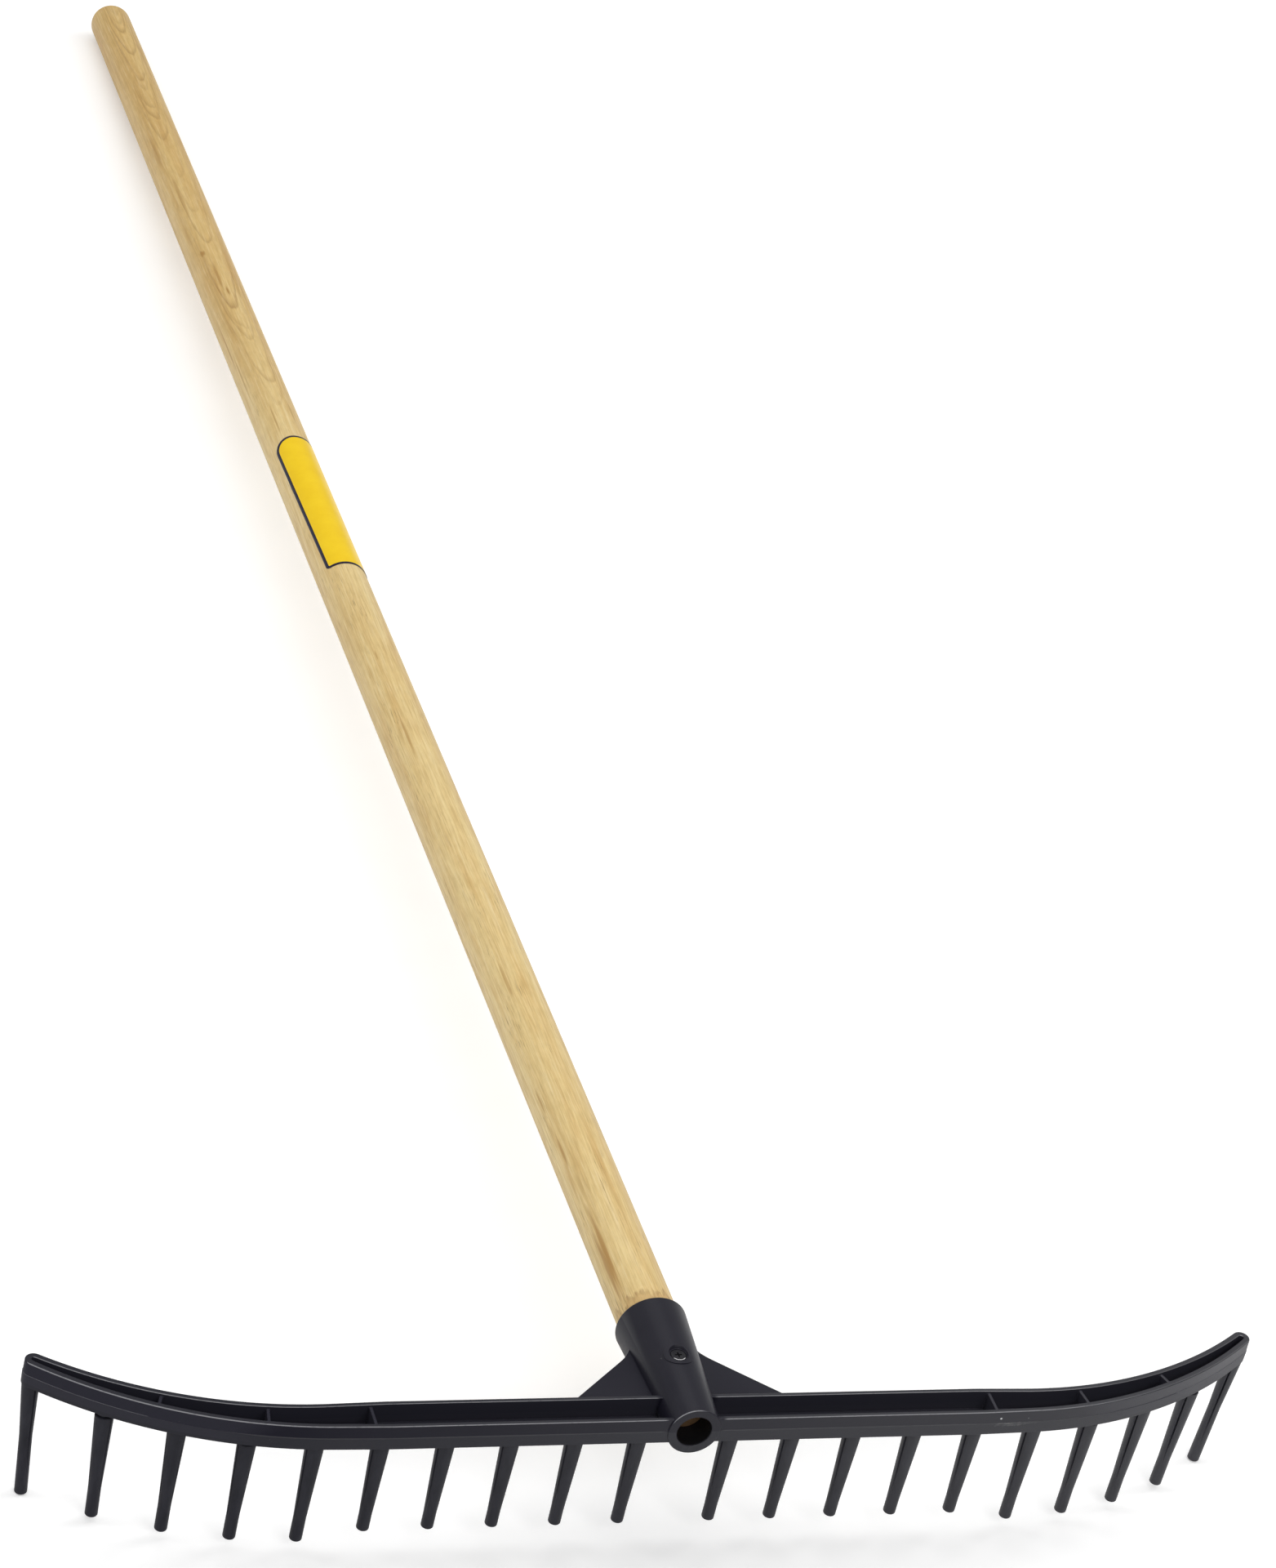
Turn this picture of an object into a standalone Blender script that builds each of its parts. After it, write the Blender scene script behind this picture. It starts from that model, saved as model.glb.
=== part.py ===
"""Bunker rake: a moulded head with an open-topped beam and twenty tines, on a long wooden handle.

The head is laid out in its own frame, in metres: X runs along the beam, Y along the handle towards
its butt, and Z up, away from the tips of the tines. The axis of the handle's socket is the Y axis.
The whole rake is then leaned back until its end tines and the butt of its handle stand on one floor.
"""

import math

import bmesh
import bpy
from mathutils import Matrix, Vector

MM = 0.001

# The beam, seen from above: straight in the middle, with ends that curve back and grow narrow
STRAIGHT_HALF = 166 * MM
END_SWEEP = 41.5 * MM
NARROWING_START = 141 * MM
BEAM_HALF_WIDTH = 9 * MM
BEAM_END_HALF_WIDTH = 4.5 * MM

# The beam, seen from its end: a channel that is open upwards
BEAM_HEIGHT = 13 * MM
PARTING_HEIGHT = 6.5 * MM
DRAFT = 0.15 * MM
WALL = 2.5 * MM
FLOOR = 3 * MM
CHANNEL_END_HALF_WIDTH = 1.2 * MM
RIB_PLACES = (148 * MM, 195 * MM, 241 * MM)
RIB_THICKNESS = 1.5 * MM
RIB_DROP = 1 * MM

# The tines, counted from the middle outwards on each side
TINES_PER_SIDE = 10
INNER_TINES = 5
FIRST_TINE = 22 * MM
TINE_PITCH = 30 * MM
TINE_LENGTH = 53 * MM
OUTER_TINE_EXTRA = 5 * MM
EXTRA_PER_SWEEP = 0.12
LEAN_PER_SWEEP = 0.09
ROOT_RADIUS = 4.45 * MM
END_ROOT_RADIUS = 4 * MM
TIP_RADIUS = 2.93 * MM
TAPER_LENGTH = 45 * MM
END_TAPER_LENGTH = 30 * MM
TIP_ROUNDING = 0.5 * MM

# Every other tine is a separate plug, pressed up into a bored collar under the beam
COLLAR_LENGTH = 2.5 * MM
COLLAR_CHAMFER = 0.4 * MM
STEM_RADIUS = 2.5 * MM
STEM_LENGTH = 4.4 * MM
FIT = 0.3 * MM

# The socket, a cone that runs through the beam, with a shoulder that stops the handle
RING_PROUD = 0.5 * MM
RING_BORE_RADIUS = 8.2 * MM
RING_WALL = 4.2 * MM
MOUTH_PLACE = 64.8 * MM
MOUTH_WALL = 2.5 * MM
SHOULDER_PLACE = 3.7 * MM
RIM_ROUNDING = 0.5 * MM

# The webs, flat plates that brace the socket against the beam
WEB_THICKNESS = 3 * MM
WEB_FOOT = 55 * MM
WEB_KNEE_ACROSS = 22.6 * MM
WEB_KNEE_ALONG = 38 * MM
WEB_TOP_ALONG = 49.5 * MM

# The handle, a round pole with a tapered front end and a domed butt
HANDLE_RADIUS = 14.3 * MM
HANDLE_LENGTH = 1556 * MM
HANDLE_FRONT_RADIUS = 9.3 * MM
HANDLE_TAPER_LENGTH = 62 * MM
HANDLE_DOME = 12 * MM
HANDLE_CHAMFER = 0.5 * MM

# The screw that holds the handle in its socket, sunk in a shallow raised boss
SCREW_PLACE = 27.5 * MM
BOSS_RADIUS = 7 * MM
BOSS_PROUD = 0.35 * MM
SCREW_HEAD_RADIUS = 3.6 * MM
SCREW_HEAD_HEIGHT = 2 * MM
SCREW_HEAD_EDGE = 0.5 * MM
SCREW_HEAD_RECESS = 1.2 * MM
RECESS_MARGIN = 0.9 * MM
SCREW_SHANK_RADIUS = 2 * MM
SCREW_LENGTH = 20 * MM
SCREW_POINT_LENGTH = 3 * MM
CROSS_LENGTH = 3.4 * MM
CROSS_WIDTH = 0.8 * MM
CROSS_DEPTH = 1 * MM

# The label, a plain sticker that goes most of the way round the top of the handle
LABEL_PLACE = 740 * MM
LABEL_LENGTH = 155 * MM
LABEL_START_ANGLE = math.radians(144)
LABEL_WRAP_ANGLE = math.radians(184)
LABEL_TWIST = math.radians(7.5)
LABEL_FAR_CORNER = 15 * MM
LABEL_NEAR_CORNER = 3 * MM
LABEL_THICKNESS = 0.3 * MM
LABEL_GAP = 0.3 * MM

# How finely round shapes are divided
ROUND_STEPS = 48
TINE_STEPS = 20
SCREW_STEPS = 16
BEND_STEPS = 10
END_STEPS = 8
CORNER_STEPS = 5
LABEL_STEPS = 16
LABEL_ROWS = 5
NEAR_CORNER_STEPS = 3
FAR_CORNER_STEPS = 6
SHARP_ANGLE = math.radians(32)

# How far cutting and joined shapes reach past what they meet, and how close corners are merged
OVERLAP = 1 * MM
MERGE_DISTANCE = 0.001 * MM

# The search for the lean at which the rake stands: its widest angle, and how often it is halved
LEAN_LIMIT = math.radians(20)
LEAN_HALVINGS = 40

# Heights and places that follow from the sizes above
BEAM_BOTTOM = -PARTING_HEIGHT
BEAM_TOP = BEAM_BOTTOM + BEAM_HEIGHT
FLOOR_TOP = BEAM_BOTTOM + FLOOR
RING_FACE = -BEAM_HALF_WIDTH - RING_PROUD
RING_RADIUS = RING_BORE_RADIUS + RING_WALL
MOUTH_RADIUS = HANDLE_RADIUS + FIT + MOUTH_WALL
CHANNEL_HALF_WIDTH = BEAM_HALF_WIDTH - WALL
LAST_TINE = FIRST_TINE + (TINES_PER_SIDE - 1) * TINE_PITCH
BEND_REACH = LAST_TINE - STRAIGHT_HALF
BEND_RADIUS = (BEND_REACH ** 2 + END_SWEEP ** 2) / (2 * END_SWEEP)
HANDLE_FRONT = SHOULDER_PLACE + FIT
HANDLE_BUTT = HANDLE_FRONT + HANDLE_LENGTH
COLLAR_BOTTOM = BEAM_BOTTOM - COLLAR_LENGTH
PLUG_TOP = COLLAR_BOTTOM - FIT


def clear_scene():
    """Remove whatever the scene holds."""
    for item in list(bpy.data.objects):
        bpy.data.objects.remove(item, do_unlink=True)


def make_material(name, colour, roughness, metallic=0.0):
    """Return a plain Principled material."""
    material = bpy.data.materials.new(name)
    material.use_nodes = True
    shader = material.node_tree.nodes["Principled BSDF"]
    shader.inputs["Base Color"].default_value = (*colour, 1.0)
    shader.inputs["Roughness"].default_value = roughness
    shader.inputs["Metallic"].default_value = metallic
    return material


def make_object(name, bm, material=None, closed=True):
    """Turn a bmesh into a smooth-shaded object of its own."""
    if closed:
        bmesh.ops.recalc_face_normals(bm, faces=bm.faces)
    mesh = bpy.data.meshes.new(name)
    bm.to_mesh(mesh)
    bm.free()
    shade(mesh)
    item = bpy.data.objects.new(name, mesh)
    bpy.context.scene.collection.objects.link(item)
    if material:
        mesh.materials.append(material)
    return item


def shade(mesh):
    """Shade a mesh smooth, with its real edges left sharp."""
    mesh.shade_smooth()
    mesh.set_sharp_from_angle(angle=SHARP_ANGLE)


def turn(profile, steps):
    """Spin a profile of (radius, height) points about Z into a closed solid."""
    bm = bmesh.new()
    add_turned(bm, profile, steps)
    return bm


def add_turned(bm, profile, steps, matrix=Matrix()):
    """Add a turned solid to a bmesh, stood in its place by a matrix."""
    part = bmesh.new()
    verts = [part.verts.new((radius, 0.0, height)) for radius, height in profile]
    edges = [part.edges.new(pair) for pair in zip(verts, verts[1:])]
    bmesh.ops.spin(
        part, geom=verts + edges, cent=(0, 0, 0), axis=(0, 0, 1),
        angle=math.tau, steps=steps, use_merge=True,
    )
    bmesh.ops.remove_doubles(part, verts=part.verts, dist=MERGE_DISTANCE)
    bmesh.ops.recalc_face_normals(part, faces=part.faces)
    bmesh.ops.transform(part, verts=part.verts, matrix=matrix)
    mesh = bpy.data.meshes.new("turned")
    part.to_mesh(mesh)
    part.free()
    bm.from_mesh(mesh)
    bpy.data.meshes.remove(mesh)


def turn_along_y(profile, steps):
    """Spin a profile of (radius, place along Y) points about Y into a closed solid."""
    bm = turn(profile, steps)
    bmesh.ops.rotate(bm, verts=bm.verts, cent=(0, 0, 0), matrix=Matrix.Rotation(-math.pi / 2, 3, "X"))
    return bm


def stack(rings):
    """Join closed rings of equal count into a solid with flat ends."""
    bm = bmesh.new()
    loops = [[bm.verts.new(point) for point in ring] for ring in rings]
    for low, high in zip(loops, loops[1:]):
        for i, corner in enumerate(low):
            following = (i + 1) % len(low)
            bm.faces.new((corner, low[following], high[following], high[i]))
    bm.faces.new(loops[0][::-1])
    bm.faces.new(loops[-1])
    return bm


def slab(outline, bottom, top):
    """Return a flat plate with the given (x, y) outline."""
    return stack([[(x, y, height) for x, y in outline] for height in (bottom, top)])


def add_box(bm, low, high, turn_angle=0.0, centre=(0.0, 0.0)):
    """Add a box to a bmesh, turned about the vertical through its own middle and moved to a centre."""
    size = [b - a for a, b in zip(low, high)]
    middle = [(a + b) / 2 for a, b in zip(low, high)]
    matrix = (
        Matrix.Translation((centre[0], centre[1], 0))
        @ Matrix.Rotation(turn_angle, 4, "Z")
        @ Matrix.Translation(middle)
        @ Matrix.Diagonal((*size, 1))
    )
    bmesh.ops.create_cube(bm, size=1, matrix=matrix)


def combine(body, operation, tool):
    """Apply one Boolean step to a body and remove its tool."""
    step = body.modifiers.new(operation.title(), "BOOLEAN")
    step.operation = operation
    step.solver = "EXACT"
    step.object = tool
    graph = bpy.context.evaluated_depsgraph_get()
    result = bpy.data.meshes.new_from_object(body.evaluated_get(graph))
    body.modifiers.clear()
    body.data = result
    bpy.data.objects.remove(tool, do_unlink=True)
    weld(result)
    shade(result)


def weld(mesh):
    """Merge corners that a Boolean left in one place."""
    bm = bmesh.new()
    bm.from_mesh(mesh)
    bmesh.ops.remove_doubles(bm, verts=bm.verts, dist=MERGE_DISTANCE)
    bmesh.ops.dissolve_degenerate(bm, edges=bm.edges, dist=MERGE_DISTANCE)
    bm.to_mesh(mesh)
    bm.free()


def along_beam(across):
    """Return how far along the beam's centre line a place across the head is."""
    if across <= STRAIGHT_HALF:
        return across
    return STRAIGHT_HALF + BEND_RADIUS * math.asin((across - STRAIGHT_HALF) / BEND_RADIUS)


BEAM_HALF_LENGTH = along_beam(LAST_TINE)


def centre_line(distance):
    """Return a point of the centre line's right half and the angle at which it runs there."""
    bend = max(0.0, distance - STRAIGHT_HALF) / BEND_RADIUS
    x = min(distance, STRAIGHT_HALF) + BEND_RADIUS * math.sin(bend)
    y = BEND_RADIUS * (1 - math.cos(bend))
    return x, y, bend


def narrowed(middle, end, distance):
    """Return a half-width that narrows evenly along the beam from its middle to its end."""
    share = (distance - NARROWING_START) / (BEAM_HALF_LENGTH - NARROWING_START)
    return middle + (end - middle) * min(1.0, max(0.0, share))


def beam_outline(middle, end, inset=0.0):
    """Return the outline of a strip that follows the beam, with round ends at the last tines."""
    distances = [0.0, *sorted((NARROWING_START, STRAIGHT_HALF))]
    bend_length = BEAM_HALF_LENGTH - STRAIGHT_HALF
    distances += [STRAIGHT_HALF + bend_length * i / BEND_STEPS for i in range(1, BEND_STEPS + 1)]
    front = []
    rear = []
    for distance in distances:
        x, y, bend = centre_line(distance)
        half = narrowed(middle, end, distance) - inset
        front.append((x + half * math.sin(bend), y - half * math.cos(bend)))
        rear.append((x - half * math.sin(bend), y + half * math.cos(bend)))
    x, y, bend = centre_line(BEAM_HALF_LENGTH)
    radius = end - inset
    nose = []
    for i in range(1, END_STEPS):
        angle = bend - math.pi / 2 + math.pi * i / END_STEPS
        nose.append((x + radius * math.cos(angle), y + radius * math.sin(angle)))
    right = front + nose + rear[::-1]
    left = [(-x, y) for x, y in right[::-1]]
    return right[:-1] + left[:-1]


def tine_place(number):
    """Return where a tine stands, its length below the beam and its root radius and taper length."""
    across = FIRST_TINE + number * TINE_PITCH
    x, y, _ = centre_line(along_beam(across))
    length = TINE_LENGTH
    if number >= INNER_TINES:
        length += OUTER_TINE_EXTRA + EXTRA_PER_SWEEP * y
    last = number == TINES_PER_SIDE - 1
    root = END_ROOT_RADIUS if last else ROOT_RADIUS
    taper = END_TAPER_LENGTH if last else TAPER_LENGTH
    return x, y, length, root, taper


def tine_stand(number, side):
    """Return the matrix that stands an upright tine in its place, with its tip leaning inwards."""
    x, y, length, _, _ = tine_place(number)
    lean = side * math.atan(LEAN_PER_SWEEP * y / length)
    return (
        Matrix.Translation((side * x, y, BEAM_BOTTOM))
        @ Matrix.Rotation(lean, 4, "Y")
        @ Matrix.Translation((0, 0, -BEAM_BOTTOM))
    )


def tine_radius(depth, root, taper):
    """Return a tine's radius at a depth below the beam."""
    share = min(1.0, max(0.0, depth / taper))
    return root + (TIP_RADIUS - root) * share


def tine_tip_profile(length, root, taper):
    """Return the profile of a tine from its tip up to where its taper starts."""
    tip = BEAM_BOTTOM - length
    soft = TIP_ROUNDING * (1 - math.sqrt(0.5))
    points = [
        (0.0, tip),
        (TIP_RADIUS - TIP_ROUNDING, tip),
        (TIP_RADIUS - soft, tip + soft),
        (TIP_RADIUS, tip + TIP_ROUNDING),
    ]
    if taper < length - TIP_ROUNDING:
        points.append((TIP_RADIUS, BEAM_BOTTOM - taper))
    return points


def make_beam():
    """Make the beam: a solid bar with a parting line, hollowed out from above, with cross ribs."""
    levels = ((BEAM_BOTTOM, DRAFT), (0.0, 0.0), (BEAM_TOP, DRAFT))
    rings = []
    for height, inset in levels:
        outline = beam_outline(BEAM_HALF_WIDTH, BEAM_END_HALF_WIDTH, inset)
        rings.append([(x, y, height) for x, y in outline])
    beam = make_object("rake_head", stack(rings), black_plastic)
    channel = beam_outline(CHANNEL_HALF_WIDTH, CHANNEL_END_HALF_WIDTH)
    combine(beam, "DIFFERENCE", make_object("channel", slab(channel, FLOOR_TOP, BEAM_TOP + OVERLAP)))
    return beam


def make_ribs():
    """Make the thin plates that cross the channel, with their ends inside the walls."""
    bm = bmesh.new()
    for side in (-1, 1):
        for across in RIB_PLACES:
            distance = along_beam(across)
            x, y, bend = centre_line(distance)
            reach = narrowed(CHANNEL_HALF_WIDTH, CHANNEL_END_HALF_WIDTH, distance) + WALL / 2
            low = (-RIB_THICKNESS / 2, -reach, BEAM_BOTTOM + FLOOR / 2)
            high = (RIB_THICKNESS / 2, reach, BEAM_TOP - RIB_DROP)
            add_box(bm, low, high, side * bend, (side * x, y))
    return make_object("ribs", bm)


def socket_radius(along):
    """Return the outer radius of the socket at a place along the handle."""
    share = (along - RING_FACE) / (MOUTH_PLACE - RING_FACE)
    return RING_RADIUS + (MOUTH_RADIUS - RING_RADIUS) * share


def make_socket_cone():
    """Make the solid outer shape of the socket."""
    profile = [
        (0.0, RING_FACE),
        (RING_RADIUS - RIM_ROUNDING, RING_FACE),
        (socket_radius(RING_FACE + RIM_ROUNDING), RING_FACE + RIM_ROUNDING),
        (socket_radius(MOUTH_PLACE - RIM_ROUNDING), MOUTH_PLACE - RIM_ROUNDING),
        (MOUTH_RADIUS - RIM_ROUNDING, MOUTH_PLACE),
        (0.0, MOUTH_PLACE),
    ]
    return make_object("socket_cone", turn_along_y(profile, ROUND_STEPS))


def handle_radius(along):
    """Return the radius of the handle at a place along it."""
    share = (along - HANDLE_FRONT) / HANDLE_TAPER_LENGTH
    return HANDLE_FRONT_RADIUS + (HANDLE_RADIUS - HANDLE_FRONT_RADIUS) * min(1.0, max(0.0, share))


def make_socket_bore():
    """Make the shape that is bored out of the socket, with a shoulder for the handle's front end."""
    beyond = MOUTH_PLACE + OVERLAP
    profile = [
        (0.0, RING_FACE - OVERLAP),
        (RING_BORE_RADIUS, RING_FACE - OVERLAP),
        (RING_BORE_RADIUS, SHOULDER_PLACE),
        (HANDLE_FRONT_RADIUS + FIT, SHOULDER_PLACE),
    ]
    if HANDLE_FRONT + HANDLE_TAPER_LENGTH < beyond:
        profile.append((HANDLE_RADIUS + FIT, HANDLE_FRONT + HANDLE_TAPER_LENGTH))
    profile.append((handle_radius(beyond) + FIT, beyond))
    profile.append((0.0, beyond))
    return make_object("socket_bore", turn_along_y(profile, ROUND_STEPS))


def make_webs():
    """Make the two plates between the beam and the socket, with a hollow curve at the socket."""
    knee = Vector((WEB_KNEE_ACROSS, WEB_KNEE_ALONG))
    foot = Vector((WEB_FOOT, BEAM_HALF_WIDTH))
    top = Vector((socket_radius(WEB_TOP_ALONG) - OVERLAP / 2, WEB_TOP_ALONG))
    slope = (knee - foot).normalized()
    corner = knee + slope * (knee.x - socket_radius(WEB_KNEE_ALONG)) / -slope.x
    outline = [Vector((0.0, BEAM_HALF_WIDTH - WALL / 2))]
    outline.append(foot - slope * (WALL / 2) / slope.y)
    for i in range(CORNER_STEPS + 1):
        share = i / CORNER_STEPS
        outline.append(knee * (1 - share) ** 2 + corner * 2 * share * (1 - share) + top * share ** 2)
    outline.append(Vector((0.0, WEB_TOP_ALONG)))
    both = [(point.x, point.y) for point in outline]
    both += [(-x, y) for x, y in both[-2:0:-1]]
    return make_object("webs", slab(both, -WEB_THICKNESS / 2, WEB_THICKNESS / 2))


def make_boss():
    """Make the low raised round round the screw, which follows the cone of the socket."""
    low = RING_RADIUS - BOSS_RADIUS
    high = MOUTH_RADIUS + OVERLAP
    boss = make_object("boss", turn([(0, low), (BOSS_RADIUS, low), (BOSS_RADIUS, high), (0, high)], ROUND_STEPS))
    boss.location.y = SCREW_PLACE
    profile = [
        (0.0, RING_FACE),
        (RING_RADIUS + BOSS_PROUD, RING_FACE),
        (MOUTH_RADIUS + BOSS_PROUD, MOUTH_PLACE),
        (0.0, MOUTH_PLACE),
    ]
    skin = make_object("boss_skin", turn_along_y(profile, ROUND_STEPS))
    combine(boss, "INTERSECT", skin)
    return boss


SCREW_HEAD_TOP = socket_radius(SCREW_PLACE) + BOSS_PROUD - SCREW_HEAD_RECESS


def screw_profile(growth):
    """Return the outline of the countersunk screw, grown all round by a clearance."""
    head = SCREW_HEAD_RADIUS + growth
    shank = SCREW_SHANK_RADIUS + growth
    tip = SCREW_HEAD_TOP - SCREW_LENGTH - growth
    cone_top = SCREW_HEAD_TOP - SCREW_HEAD_EDGE - growth
    cone_bottom = SCREW_HEAD_TOP - SCREW_HEAD_HEIGHT - growth
    return [(0.0, tip), (shank, tip + SCREW_POINT_LENGTH), (shank, cone_bottom), (head, cone_top)]


def make_screw_hole():
    """Make the shape that is cut for the screw, with a wider recess above its head."""
    above = SCREW_HEAD_TOP + SCREW_HEAD_RECESS + OVERLAP
    recess = SCREW_HEAD_RADIUS + RECESS_MARGIN
    profile = screw_profile(FIT)
    profile += [
        (profile[-1][0], SCREW_HEAD_TOP),
        (recess, SCREW_HEAD_TOP),
        (recess, above),
        (0.0, above),
    ]
    hole = make_object("screw_hole", turn(profile, SCREW_STEPS))
    hole.location.y = SCREW_PLACE
    return hole


def make_tines():
    """Make the tines that are moulded with the beam, each rooted in the beam's floor."""
    bm = bmesh.new()
    root_height = BEAM_BOTTOM + FLOOR / 2
    for number in range(1, TINES_PER_SIDE, 2):
        _, _, length, root, taper = tine_place(number)
        profile = tine_tip_profile(length, root, taper)
        profile += [(root, BEAM_BOTTOM), (root, root_height), (0.0, root_height)]
        for side in (-1, 1):
            add_turned(bm, profile, TINE_STEPS, tine_stand(number, side))
    return make_object("moulded_tines", bm)


def make_collars():
    """Make the short collars that carry the separate tines."""
    bm = bmesh.new()
    root_height = BEAM_BOTTOM + FLOOR / 2
    for number in range(0, TINES_PER_SIDE, 2):
        _, _, _, root, taper = tine_place(number)
        end = tine_radius(COLLAR_LENGTH, root, taper)
        profile = [
            (0.0, COLLAR_BOTTOM),
            (end - COLLAR_CHAMFER, COLLAR_BOTTOM),
            (end, COLLAR_BOTTOM + COLLAR_CHAMFER),
            (root, BEAM_BOTTOM),
            (root, root_height),
            (0.0, root_height),
        ]
        for side in (-1, 1):
            add_turned(bm, profile, TINE_STEPS, tine_stand(number, side))
    return make_object("collars", bm)


def make_stem_bores():
    """Make the blind bores in the collars, one clearance wider and deeper than the stems."""
    bm = bmesh.new()
    bore = STEM_RADIUS + FIT
    end = PLUG_TOP + STEM_LENGTH + FIT
    profile = [(0.0, PLUG_TOP - OVERLAP), (bore, PLUG_TOP - OVERLAP), (bore, end), (0.0, end)]
    for number in range(0, TINES_PER_SIDE, 2):
        for side in (-1, 1):
            add_turned(bm, profile, TINE_STEPS, tine_stand(number, side))
    return make_object("stem_bores", bm)


def make_head():
    """Make the head, one moulding: beam, ribs, socket, webs, boss, half of the tines and collars."""
    head = make_beam()
    for make_tool in (make_ribs, make_webs, make_socket_cone, make_boss, make_tines, make_collars):
        combine(head, "UNION", make_tool())
    for make_tool in (make_stem_bores, make_socket_bore, make_screw_hole):
        combine(head, "DIFFERENCE", make_tool())
    return head


def make_plug_tines():
    """Make the separate tines, each with a stem that goes up into its collar."""
    plugs = []
    for number in range(0, TINES_PER_SIDE, 2):
        _, _, length, root, taper = tine_place(number)
        shoulder = tine_radius(COLLAR_LENGTH + FIT, root, taper)
        stem_top = PLUG_TOP + STEM_LENGTH
        profile = tine_tip_profile(length, root, taper)
        profile += [
            (shoulder, PLUG_TOP - COLLAR_CHAMFER),
            (shoulder - COLLAR_CHAMFER, PLUG_TOP),
            (STEM_RADIUS, PLUG_TOP),
            (STEM_RADIUS, stem_top - COLLAR_CHAMFER),
            (STEM_RADIUS - COLLAR_CHAMFER, stem_top),
            (0.0, stem_top),
        ]
        for side, word in ((-1, "left"), (1, "right")):
            plug = make_object(f"plug_tine_{word}_{number // 2 + 1}", turn(profile, TINE_STEPS), black_plastic)
            plug.matrix_basis = tine_stand(number, side)
            plugs.append(plug)
    return plugs


def make_handle():
    """Make the wooden handle, with a pilot hole for the screw."""
    profile = [
        (0.0, HANDLE_FRONT),
        (HANDLE_FRONT_RADIUS - HANDLE_CHAMFER, HANDLE_FRONT),
        (handle_radius(HANDLE_FRONT + HANDLE_CHAMFER), HANDLE_FRONT + HANDLE_CHAMFER),
        (HANDLE_RADIUS, HANDLE_FRONT + HANDLE_TAPER_LENGTH),
    ]
    for i in range(CORNER_STEPS):
        angle = math.pi / 2 * i / CORNER_STEPS
        along = HANDLE_BUTT - HANDLE_DOME * (1 - math.sin(angle))
        profile.append((HANDLE_RADIUS * math.cos(angle), along))
    profile.append((0.0, HANDLE_BUTT))
    handle = make_object("handle", turn_along_y(profile, ROUND_STEPS), pale_wood)
    combine(handle, "DIFFERENCE", make_screw_hole())
    return handle


def make_screw():
    """Make the countersunk screw, with a cross recess in its head."""
    profile = screw_profile(0.0)
    profile += [(SCREW_HEAD_RADIUS, SCREW_HEAD_TOP), (0.0, SCREW_HEAD_TOP)]
    screw = make_object("fixing_screw", turn(profile, SCREW_STEPS), dark_steel)
    bm = bmesh.new()
    low = (-CROSS_LENGTH / 2, -CROSS_WIDTH / 2, SCREW_HEAD_TOP - CROSS_DEPTH)
    high = (CROSS_LENGTH / 2, CROSS_WIDTH / 2, SCREW_HEAD_TOP + OVERLAP)
    add_box(bm, low, high)
    slot = make_object("cross_slot", bm)
    bm = bmesh.new()
    add_box(bm, low, high, math.pi / 2)
    other_slot = make_object("other_cross_slot", bm)
    combine(screw, "DIFFERENCE", slot)
    combine(screw, "DIFFERENCE", other_slot)
    screw.location.y = SCREW_PLACE
    return screw


def corner_places(radius, steps):
    """Return the distances from the label's end at which a rounded corner has a row of points."""
    return [radius * (1 - math.cos(math.pi / 2 * i / steps)) for i in range(steps + 1)]


def corner_inset(distance, radius):
    """Return how far a rounded corner draws the label's edge in, at a distance from its end."""
    if distance >= radius:
        return 0.0
    return radius - math.sqrt(radius ** 2 - (radius - distance) ** 2)


def make_label():
    """Make the label, a thin sheet bent round the handle, with rounded corners and a slight twist."""
    radius = HANDLE_RADIUS + LABEL_GAP
    near = corner_places(LABEL_NEAR_CORNER, NEAR_CORNER_STEPS)
    far = [LABEL_LENGTH - place for place in corner_places(LABEL_FAR_CORNER, FAR_CORNER_STEPS)]
    plain = far[-1] - near[-1]
    middle = [near[-1] + plain * i / LABEL_ROWS for i in range(1, LABEL_ROWS)]
    bm = bmesh.new()
    rows = []
    for along in near + middle + far[::-1]:
        near_inset = corner_inset(along, LABEL_NEAR_CORNER)
        far_inset = corner_inset(LABEL_LENGTH - along, LABEL_FAR_CORNER)
        inset = max(near_inset, far_inset) / radius
        twist = LABEL_TWIST * (along / LABEL_LENGTH - 0.5)
        row = []
        for i in range(LABEL_STEPS + 1):
            swept = inset + (LABEL_WRAP_ANGLE - 2 * inset) * i / LABEL_STEPS
            angle = LABEL_START_ANGLE + twist - swept
            place = (radius * math.cos(angle), LABEL_PLACE + along, radius * math.sin(angle))
            row.append(bm.verts.new(place))
        rows.append(row)
    for lower, upper in zip(rows, rows[1:]):
        for i in range(LABEL_STEPS):
            bm.faces.new((lower[i], lower[i + 1], upper[i + 1], upper[i]))
    label = make_object("label", bm, yellow_label, closed=False)
    thickness = label.modifiers.new("Thickness", "SOLIDIFY")
    thickness.thickness = LABEL_THICKNESS
    thickness.offset = 1.0
    return label


def world_points(items):
    """Return every corner of the given objects as they stand, modifiers included."""
    graph = bpy.context.evaluated_depsgraph_get()
    points = []
    for item in items:
        solid = item.evaluated_get(graph)
        points += [solid.matrix_world @ corner.co for corner in solid.data.vertices]
    return points


def lean_angle(head_points, handle_points):
    """Return the angle about X at which the tines and the handle's butt touch one floor."""

    def step(angle):
        heights = []
        for points in (head_points, handle_points):
            heights.append(min(p.y * math.sin(angle) + p.z * math.cos(angle) for p in points))
        return heights[0] - heights[1]

    low, high = -LEAN_LIMIT, LEAN_LIMIT
    for _ in range(LEAN_HALVINGS):
        middle = (low + high) / 2
        if step(middle) < 0:
            high = middle
        else:
            low = middle
    return (low + high) / 2


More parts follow.
